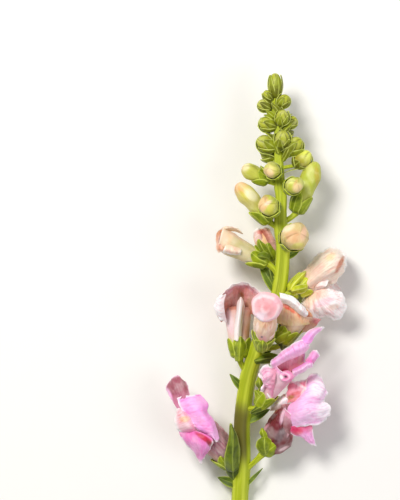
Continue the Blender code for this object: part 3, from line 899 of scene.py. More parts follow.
@dataclass(frozen=True)
class Dome:
    """A lobe folded over into a round, shallow dome that faces the viewer."""

    name: str
    centre: Point
    facing: Point
    across: float
    along: float
    height: float
    tint: LobeTint
    finish: PetalFinish
    rings: float
    ring_tint: float
    dimple: float
    curl: float
    seed: float
    spots: tuple[Spot, ...]
    columns: int = 96
    rows: int = 44

    def build(self) -> Thing:
        """Model the dome and dress it."""
        up = unit(np.array(self.facing, dtype=float))
        side = unit(np.cross((0.0, 1.0, 0.0), up))
        along = np.cross(up, side)
        angles = full_turn(self.columns)[:, None]
        far = np.linspace(0, 1, self.rows + 1)[None, :]
        bend = far * (math.pi / 2 + self.curl)
        reach = np.sin(bend)
        wobble = 1 + 0.03 * np.sin(3 * angles + self.seed) + 0.02 * np.sin(7 * angles + 2 * self.seed)
        ring = np.sin(17 * far ** 0.9 + 1.2 * np.sin(angles + self.seed)) * ease(far, 0, 0.2)
        x = self.across * reach * np.cos(angles) * wobble
        y = self.along * reach * np.sin(angles) * wobble
        z = (self.height * (np.cos(bend) - 1) + self.rings * ring
             - self.dimple * np.exp(-(far / 0.2) ** 2))
        points = (np.array(seen(*self.centre)) + x[..., None] * side + y[..., None] * along
                  + z[..., None] * up)
        ripple = 0.12 * wander(points, 2.6, self.seed) * ease(far, 0.2, 0.8)
        points = points + up * ripple[..., None]
        border = far + 0 * angles
        return Workbench.petal(self.name, node_of(self.name), points, True, border * 0.0,
                               partial(self.paint, points, border, ring), self.finish,
                               DOME_THICKNESS, True)

    def paint(self, points: Array, border: Array, ring: Array, side: Side) -> Array:
        """Return the colour of each point on one face of the dome."""
        out = ease(border, 0.0, 0.75 if self.dimple == 0 else 0.3)[..., None]
        # The crests of the rings are painted lighter: a painted highlight.
        light = (self.ring_tint * ease(ring, 0.0, 1.0))[..., None]
        return touched(blend(self.tint.start(out, side), srgb(self.tint.rim), light), points, self.spots)


@dataclass(frozen=True)
class BudTint:
    """The colours of one closed bud from its base to its tip, and of a patch on one flank."""

    base: Colour
    middle: Colour
    tip: Colour
    flank: Colour


def closing_tip(share: Array, least: float) -> Array:
    """Return how much of a tube's radius a closed bud has at shares of its length from its base."""
    return np.sqrt(np.clip(1 - np.clip((share - 0.55) / 0.45, 0, 1) ** 2.2, least, 1))


@dataclass(frozen=True)
class ClosedBud:
    """A closed bud, whose folded lobes overlap in a whorl at its tip."""

    seat: Floret
    tint: BudTint
    seed: float
    spots: tuple[Spot, ...] = ()
    folds: int = 3
    step: float = 0.45
    twist: float = 0.9
    columns: int = 110
    rows: int = 54

    def build(self) -> Thing:
        """Model the bud and dress it."""
        seat = self.seat
        angles = full_turn(self.columns)
        share = (1 - np.cos(np.linspace(0, math.pi, self.rows + 1))) / 2
        radius = seat.tube_radius(share * seat.length, seat.length * BUD_TAPER)
        radius = (radius * closing_tip(share, 0))[None, :]
        turned = (angles[:, None] + self.twist * share[None, :] ** 1.5 + self.seed
                  + 0.35 * np.sin(2 * angles + self.seed)[:, None]) / math.tau
        lobe = (turned * self.folds) % 1.0
        reach = ease(share, 0.35, 0.8)[None, :]
        overlap = lobe - 0.5 - 1.0 * ease(lobe, 0.9, 1.0)
        seam = 0.5 * np.exp(-((lobe - 0.93) / 0.07) ** 2) * reach
        wide = radius + self.step * reach * overlap * np.minimum(1, radius / 2)
        wide = np.maximum(wide - 0.22 * seam * np.minimum(1, radius / 2), 0)
        wide[:, 0] = wide[:, -1] = 0
        points = seat.turned(angles[:, None], wide, share[None, :] * seat.length)
        centre = seat.turned(np.zeros(1), np.zeros(1), share * seat.length)
        points = points + (points - centre) * 0.13 * wander(points, 4.0, self.seed)[..., None]
        marks = {"tint": self.paint(points, angles, share, lobe), "seam": seam}
        thing = Workbench.sheet(seat.name + "_petals", points, True, marks)
        return Workbench.finish(thing, CREAM_SKIN, (seat.name,), "cream_bud")

    def paint(self, points: Array, angles: Array, share: Array, lobe: Array) -> Array:
        """Return the colour of each point of the bud."""
        base, middle, tip, flank = (srgb(colour) for colour in (self.tint.base, self.tint.middle,
                                                                self.tint.tip, self.tint.flank))
        low = ease(share, 0.15, 0.6)[None, :, None]
        colour = blend(blend(base, middle, low), tip, ease(share, 0.72, 1.0)[None, :, None])
        away = np.cos(angles - math.radians(FLANK_ANGLE))[:, None, None]
        colour = touched(blend(colour, flank, ease(away, 0.1, 0.9) * low * 0.8), points, self.spots)
        return colour * (1 - ease(lobe, 0.55, 0.95)[..., None] * 0.12 * low)


@dataclass(frozen=True)
class Sepals:
    """A calyx: a cup of overlapping sepals round the base of a flower or bud."""

    seat: Floret
    finish: LeafFinish
    bulge: float
    length: float
    width: float
    seed: float
    bud: bool = False
    columns: int = 14
    rows: int = 22

    def inner_radius(self, along: Array) -> Array:
        """Return the radius of what the calyx holds at distances along it."""
        seat = self.seat
        places = np.maximum(along, CUP_START)
        if not self.bud:
            return seat.tube_radius(places, seat.length)
        share = np.clip(along / seat.length, 0, 1)
        return seat.tube_radius(places, seat.length * BUD_TAPER) * closing_tip(share, 0.02)

    def sepal(self, index: int) -> Thing:
        """Model one sepal of the cup."""
        across, along = grid(self.columns, self.rows)
        closing = np.clip(1 - np.clip((along - 0.4) / 0.6, 0, 1) ** 2.2, 0, 1) ** 0.62
        blade = np.maximum((0.82 + 0.18 * ease(along, 0.0, 0.4)) * closing, 0.04)
        height = -0.9 + (self.length + 0.9) * along
        closing = np.sqrt(np.clip(1 - np.clip(1 - (height + 0.95) / 1.7, 0, 1) ** 2, 0.02, 1))
        layer = 0.12 * (index % 2) + 0.08 * across
        radius = (self.inner_radius(height) + 0.45 + self.bulge + layer) * closing
        lift = 0.1 * ease(along, 0.55, 1.0) * self.length * 0.3
        cupped = 0.35 * (1 - across ** 2) * ease(along, 0.1, 0.6)
        radius = radius + lift + cupped * blade
        spread = across * (self.width / 2 * blade) / np.maximum(radius, 1.6)
        angle = math.radians(90 + 360 / SEPALS * index) + spread
        wobble = 0.15 * np.sin(3.1 * along + index + self.seed) * ease(along, 0.3, 1.0)
        points = self.seat.turned(angle + wobble, radius, height)
        edge = np.maximum(np.abs(across), ease(along, 0.86, 1.0))
        return Workbench.blade(self.seat.name + "_sepal", points, edge, np.exp(-(across / 0.16) ** 2),
                               0.5, 0.55)

    def build(self) -> Thing:
        """Model the calyx and dress it."""
        sepals = [self.sepal(index) for index in range(SEPALS)]
        return Workbench.finish(Workbench.join(self.seat.name + "_calyx", sepals), self.finish)


@dataclass(frozen=True)
class Stalk:
    """A round stalk along a path of x, y, z and radius, closed at both ends."""

    name: str
    path: tuple[tuple[float, ...], ...]
    columns: int = 20
    rows: int = 16

    def build(self) -> Thing:
        """Model the stalk and dress it."""
        path = smooth_path(self.path, self.rows + 1)
        angles = full_turn(self.columns)
        ring = rings(path, angles)
        radius = path[:, 3].copy()
        radius[0] = radius[-1] = 0.0
        path[0, :3] = path[1, :3]
        path[-1, :3] = path[-2, :3]
        ripple = 1 + 0.05 * np.cos(5 * angles)
        points = path[None, :, :3] + ring * (radius[None, :] * ripple[:, None])[..., None]
        keel = ease(np.cos(5 * angles), 0.2, 1.0)[:, None] * np.ones(self.rows + 1)[None, :]
        thing = Workbench.sheet(self.name, points, True, {"keel": keel, "edge": 0 * keel})
        return Workbench.finish(thing, STEM_SKIN)


def pedicel(seat: Floret) -> Stalk:
    """Return the short stalk that carries a floret from the main stem to its calyx."""
    start = stem_at(seat.joins)
    axial = seat.axes()[2]
    end = np.array(seat.base) + axial * 0.2
    far = float(np.linalg.norm(end - start))
    lead = start + np.array((0, 0.3 * far, 0)) + 0.12 * (end - start)
    follow = end - axial * 0.42 * far
    knots = []
    for t, radius in PEDICEL_RADII:
        place = ((1 - t) ** 3 * start + 3 * t * (1 - t) ** 2 * lead + 3 * t * t * (1 - t) * follow
                 + t ** 3 * end)
        knots.append((*place, radius))
    return Stalk(seat.name + "_pedicel", tuple(knots))


@dataclass(frozen=True)
class MainStem:
    """The main stem, ribbed, swollen at each joint, and cut off flat at its lower end."""

    joints: tuple[tuple[float, Point], ...]
    columns: int = 72
    rows: int = 420

    def build(self) -> Thing:
        """Model the stem and dress it."""
        path = smooth_path(STEM_PATH, self.rows + 1)
        angles = full_turn(self.columns)
        ring = rings(path, angles)
        radius = np.repeat(path[None, :, 3], self.columns, axis=0)
        drift = 0.35 * np.sin(path[:, 1] / 23)[None, :]
        ribs = 0.5 + 0.5 * np.cos(5 * angles[:, None] + 4 * drift)
        radius = radius * (1 + 0.03 * ribs + 0.006 * np.cos(17 * angles[:, None] + drift))
        for y, toward in self.joints:
            way = unit(np.subtract(toward, stem_at(y)))
            facing = np.clip((ring * way).sum(axis=2), 0, 1)
            near = np.exp(-((path[:, 1] - y - 1.0) / 2.6) ** 2)[None, :]
            radius = radius + 0.75 * facing ** 2 * near
        radius[:, 0] = radius[:, -1] = 0.0
        radius[:, 1] *= 0.93
        path[0, :3] = path[1, :3] = path[2, :3]
        path[2, 1] += 0.12
        points = path[None, :, :3] + ring * radius[..., None]
        # A painted shadow on the left and upper side of the stem, centred 49 mm below the origin, stored in
        # its edge attribute.
        leftward = (ring * (-0.55, 0.0, 0.85)).sum(axis=2)
        shadow_share = 0.9 * ease(leftward, 0.1, 0.6) * np.exp(-((path[:, 1] + 49) / 12.5) ** 6)[None, :]
        marks = {"keel": ease(ribs, 0.55, 1.0) + 0 * radius, "edge": shadow_share}
        return Workbench.finish(Workbench.sheet("main_stem", points, True, marks), STEM_SKIN)


@dataclass(frozen=True)
class Bract:
    """A narrow pointed leaf that leaves the stem under a flower."""

    name: str
    joins: float
    tip: Point
    width: float
    arch: float = 0.14
    columns: int = 12
    rows: int = 30

    def build(self) -> Thing:
        """Model the bract and dress it."""
        root = stem_at(self.joins)
        way = np.array(self.tip) - root
        side = unit(np.cross(way, (0.0, 0.0, 1.0)))
        up = unit(np.cross(side, way))
        across, along = grid(self.columns, self.rows)
        blade = np.maximum(np.sin(math.pi * (0.16 + 0.84 * along)) ** 0.8, 0.03)
        spread = across * self.width / 2 * blade
        rise = 0.3 * np.abs(spread) + self.arch * float(np.linalg.norm(way)) * np.sin(math.pi * along)
        rise = rise + 0.15 * np.sin(9 * along + 2 * across) * along
        points = root + way * along[..., None] + side * spread[..., None] + up * rise[..., None]
        edge = np.maximum(np.abs(across), ease(along, 0.9, 1.0))
        thing = Workbench.blade(self.name, points, edge, np.exp(-(across / 0.14) ** 2), 0.45, 0.55)
        return Workbench.finish(thing, BRACT_SKIN)


@dataclass(frozen=True)
class GreenBud:
    """A small green bud near the tip, nearly shut inside its sepals."""

    name: str
    x: float
    y: float
    z: float
    azimuth: float
    elevation: float
    radius: float
    open_share: float
    core_tint: Colour
    stretch: float

    def seat(self) -> Floret:
        """Return where the bud sits, from its base to its tip."""
        azimuth, elevation = math.radians(self.azimuth), math.radians(self.elevation)
        way = np.array((math.cos(azimuth) * math.cos(elevation), math.sin(azimuth) * math.cos(elevation),
                        math.sin(elevation)))
        centre = np.array((self.x, self.y, self.z))
        reach = self.radius * self.stretch
        return Floret(self.name, tuple(centre - way * reach), tuple(centre + way * reach),
                      (0.1, 1, 0.3), 1.0, self.y - 4.0)

    def core(self, seat: Floret) -> Thing:
        """Model the bud inside the sepals."""
        angles = full_turn(40)[:, None]
        share = (1 - np.cos(np.linspace(0, math.pi, 25)))[None, :] / 2
        radius = self.radius * 0.98 * np.sqrt(np.clip(1 - (2 * share - 1) ** 2, 0, 1))
        lobe = ((angles + 1.2 * share) / math.tau * SEPALS) % 1.0
        seam = np.exp(-((lobe - 0.9) / 0.09) ** 2) * ease(share, 0.5, 0.8)
        points = seat.turned(angles, radius * (1 - 0.1 * seam), share * seat.length)
        tint = srgb(self.core_tint)
        # Darker and browner towards the base: a painted shade inside the sepals.
        near_base = (1 - ease(share, 0.3, 0.85) + 0 * seam)[..., None]
        colour = blend(tint, tint * (0.5, 0.42, 0.3), near_base) * (1 - 0.45 * seam[..., None])
        return Workbench.sheet(self.name + "_core", points, True, {"tint": colour, "seam": seam})

    def leaf(self, name: str, points: Array, across: Array, along: Array, keel: float) -> Thing:
        """Model a sepal or claw from its points, with a keel of this half width."""
        edge = np.maximum(np.abs(across), ease(along, 0.88, 1.0))
        return Workbench.blade(self.name + name, points, edge, np.exp(-(across / keel) ** 2), 0.32, 0.6)

    def sepal(self, seat: Floret, index: int) -> Thing:
        """Model one sepal that cups the bud."""
        across, along = grid(10, 18)
        cover = 1 - self.open_share * 0.55
        polar = math.pi * (0.03 + (cover - 0.03) * along)
        blade = np.maximum(np.sin(math.pi * np.clip(0.22 + 0.78 * along, 0, 1)) ** 0.75, 0.04)
        shell = self.radius * (1.07 + 0.05 * (index % 2) + 0.06 * across + 0.07 * (1 - across ** 2))
        shell = shell + self.radius * 0.07 * ease(along, 0.75, 1.0)
        half = self.radius * 0.84 * blade
        radius = shell * np.sin(polar)
        spread = across * half / np.maximum(radius, 0.45 * self.radius)
        angle = math.radians(18 + 360 / SEPALS * index) + spread
        height = seat.length / 2 - shell * np.cos(polar) * self.stretch
        return self.leaf("_sepal", seat.turned(angle, radius, height), across, along, 0.18)

    def claw(self) -> Thing:
        """Model the bract that curls round the outer side of the bud."""
        joint = stem_at(min(self.y - 2.0 * self.radius, STEM_TOP - 2))
        way = 1.0 if self.x > joint[0] else -1.0
        start = math.atan2(joint[1] - self.y, joint[0] - self.x)
        across, along = grid(8, 32)
        angle = start + way * math.radians(160) * along
        half = 0.6 * self.radius * np.maximum(np.sin(math.pi * (0.18 + 0.82 * along)) ** 0.7, 0.05)
        reach = self.radius * (1.04 + 0.14 * along ** 3) + 0.2 * half * (across + 1)
        arc = np.stack([reach * np.cos(angle), reach * np.sin(angle),
                        0.75 * half * across - 0.1 * self.radius], axis=-1)
        arc = arc + np.array((self.x, self.y, self.z))
        points = blend(joint, arc, ease(along, 0.0, 0.25)[..., None])
        return self.leaf("_claw", points, across, along, 0.2)

    def build(self) -> None:
        """Model the bud, its sepals and its stalk, and dress them."""
        seat = self.seat()
        Workbench.finish(self.core(seat), GREEN_CORE_SKIN)
        leaves = [self.sepal(seat, index) for index in range(SEPALS)]
        if self.elevation > -30 and self.y < STEM_TOP:
            leaves.append(self.claw())
        Workbench.finish(Workbench.join(self.name + "_calyx", leaves), GREEN_SEPAL_SKIN)
        start = stem_at(min(seat.joins, STEM_TOP - 2))
        middle = (start + np.array(seat.base)) / 2
        end = np.array(seat.base) + seat.axes()[2] * 0.5
        knots = ((*start, 0.9), (*middle, 0.8), (*seat.base, 0.8), (*end, 1.1))
        Stalk(self.name + "_stalk", knots, 12, 8).build()


@dataclass(frozen=True)
class Stamens:
    """Four stamens with two-lobed anthers, tucked under the upper lip of a flower."""

    seat: Floret
    reach: float = 1.02
    height: float = 0.45

    def build(self) -> None:
        """Model the filaments and anthers and dress them."""
        seat = self.seat
        lateral, _, axial = seat.axes()
        filaments, anthers = [], []
        for index, angle in enumerate((60, 78, 102, 120)):
            turn = math.radians(angle)
            far = seat.length * (self.reach - 0.08 * (index % 2))
            knots = []
            for share in (0.08, 0.4, 0.75, 1.0):
                along = np.array(far * share)
                radius = float(seat.tube_radius(along, seat.length)) * self.height
                place = seat.lay(np.array(radius * math.cos(turn)), np.array(radius * math.sin(turn)),
                                 along)
                knots.append((*place, 0.28))
            filaments.append(self.thread(f"{seat.name}_filament", knots))
            tip = np.array(knots[-1][:3])
            for way in (-1, 1):
                ends = [(*(tip + lateral * way * 0.45 + axial * ahead), size)
                        for ahead, size in ((-0.7, 0.15), (-0.3, 0.5), (0.3, 0.55), (0.8, 0.15))]
                anthers.append(self.thread(f"{seat.name}_anther", ends))
        for name, things, finish in (("_filaments", filaments, ORANGE_THREAD),
                                     ("_anthers", anthers, ANTHER_SKIN)):
            thing = Workbench.join(seat.name + name, things)
            Workbench.finish(thing, finish, (seat.name,), "pink_petal")

    @staticmethod
    def thread(name: str, knots: list[tuple[float, ...]]) -> Thing:
        """Model one round thread."""
        path = smooth_path(tuple(knots), 13)
        radius = path[:, 3].copy()
        radius[0] = radius[-1] = 0
        points = path[None, :, :3] + rings(path, full_turn(10)) * radius[None, :, None]
        return Workbench.sheet(name, points, True, {})


class Studio:
    """The pale table, the soft lights and the camera that looks straight down."""

    @staticmethod
    def table() -> None:
        """Lay the table under the stem."""
        Workbench.clear()
        bpy.ops.mesh.primitive_plane_add(size=TABLE_SIZE, location=(0, 0, 0))
        table = bpy.context.active_object
        table.name = "table"
        table.data.materials.append(TABLE_SKIN.make())

    @staticmethod
    def light(name: str, place: Point, size: float, power: float, colour: Colour) -> None:
        """Hang one square soft light that faces the stem."""
        Workbench.clear()
        bpy.ops.object.light_add(type="AREA", location=place)
        lamp = bpy.context.active_object
        lamp.name = name
        lamp.data.size = size
        lamp.data.energy = power
        lamp.data.color = colour
        lamp.rotation_euler = (-Vector(place)).to_track_quat("-Z", "Y").to_euler()

    @staticmethod
    def camera() -> None:
        """Set the camera over the stem, straight down, with the stem's tip up in the picture."""
        Workbench.clear()
        place = (VIEW_CENTRE[0] * MM, VIEW_CENTRE[1] * MM, CAMERA_HEIGHT * MM)
        bpy.ops.object.camera_add(location=place, rotation=(0, 0, 0))
        camera = bpy.context.active_object
        camera.data.lens = LENS
        camera.data.sensor_width = SENSOR
        bpy.context.scene.camera = camera

    @classmethod
    def build(cls) -> None:
        """Set up the table, the lights, the sky and the camera."""
        cls.table()
        cls.light("key", (-0.35, 0.45, 0.85), 0.3, 8.4, (1.0, 0.98, 0.94))
        cls.light("fill", (0.6, -0.2, 0.7), 0.6, 2.5, (0.95, 0.97, 1.0))
        world = bpy.data.worlds.new("studio")
        world.use_nodes = True
        sky = world.node_tree.nodes["Background"]
        sky.inputs["Color"].default_value = (1.0, 1.0, 1.0, 1.0)
        sky.inputs["Strength"].default_value = 0.36
        bpy.context.scene.world = world
        bpy.context.scene.view_settings.view_transform = "Standard"
        cls.camera()


# Open flowers from the top of the stem to the bottom
OPEN_FLOWERS = (
    Corolla(Floret("flower_right_upper", (14.7, 10.1, 17.5), (27.7, 17.6, 12.0), (-0.5, 0.85, 0.2), 1.05,
        2.0), PetalTint((222, 190, 165), (248, 234, 224), (255, 250, 246), (232, 176, 158)), 1.3),
    # Its brown lip and rim, which meet the umbrella's root, and its brown spots are painted shade under the
    # hood.
    Corolla(Floret("flower_left_upper", (-7.0, -17.0, 15.5), (-7.6, 1.7, 13.0), (0, 0, 1), 1.0, -27.0),
        PetalTint((236, 196, 186), (206, 146, 124), (196, 128, 106), (176, 104, 84)), 2.1, spread=-0.4,
        ahead=1.6, spots=(Spot(248, 325, 7, 22, (200, 140, 112), 0.85, 90),
        Spot(230, 322, 5, 18, (246, 216, 222), 0.8, 100), Spot(239, 306, 14, 6, (190, 118, 96), 0.8, 90))),
    Corolla(Floret("flower_front_left", (2.5, -12.5, 24.0), (3.4, -6.4, 29.6), (0, 1, 0.2), 0.78, -16.0),
        PetalTint((230, 196, 164), (248, 210, 208), (255, 240, 240), (234, 166, 158)), 3.7, spread=0.0,
        ahead=0.8),
    Corolla(Floret("flower_front_right", (11.5, -10.5, 20.5), (17.2, 0.8, 24.5), (0.5, 1, -0.2), 0.95,
        -17.0), PetalTint((206, 176, 132), (214, 174, 138), (222, 184, 150), (226, 122, 94)), 4.9),
    Corolla(Floret("flower_right_middle", (1.6, -37.5, 17.5), (11.3, -23.1, 25.0), (-0.4, 0.9, 0), 0.85,
        -41.0), PetalTint((232, 176, 190), (240, 158, 212), (252, 214, 240), (222, 84, 130)), 5.2,
        PINK_PETALS),
    # Its tube's dark maroon is painted shade under its face.
    Corolla(Floret("flower_right_lower", (3.3, -57.5, 12.0), (14.7, -42.4, 16.0), (0.3, 0, 1), 1.0, -71.0),
        PetalTint((140, 66, 70), (220, 146, 178), (255, 240, 250), (224, 96, 120)), 6.4, PINK_PETALS),
    Corolla(Floret("flower_left_lower", (-11.0, -63.0, 9.5), (-23.0, -48.5, 16.0), (0.6, 0.6, 0.5), 0.9,
        -69.0), PetalTint((190, 138, 134), (242, 154, 216), (253, 214, 242), (218, 66, 108)), 7.8,
        PINK_PETALS),
    Corolla(Floret("bud_opening_left", (4.0, 22.5, 19.5), (-11.0, 30.2, 20.5), (0, 1, 0.3), 0.85, 12.0),
        PetalTint((208, 194, 136), (230, 196, 150), (248, 226, 196), (178, 110, 68)), 8.6,
        edge=Rim((-4.2, 2.1, 0.0), (0.0, 0.0, 5.0), (1.2, 4.5, 1.5), 2.0),
        spots=(Spot(240, 238, 3, 14, (222, 186, 150), 0.8, -30),
        Spot(246, 248, 2.5, 12, (186, 176, 110), 0.8, -25))),
)

WHITE, CREAM, PEACH, BEIGE = (255, 252, 252), (253, 243, 232), (250, 208, 190), (214, 170, 134)
LILAC, DEEP, MAUVE, BROWN = (245, 150, 226), (224, 70, 120), (204, 134, 150), (196, 130, 116)
BLUSH = (246, 190, 200)

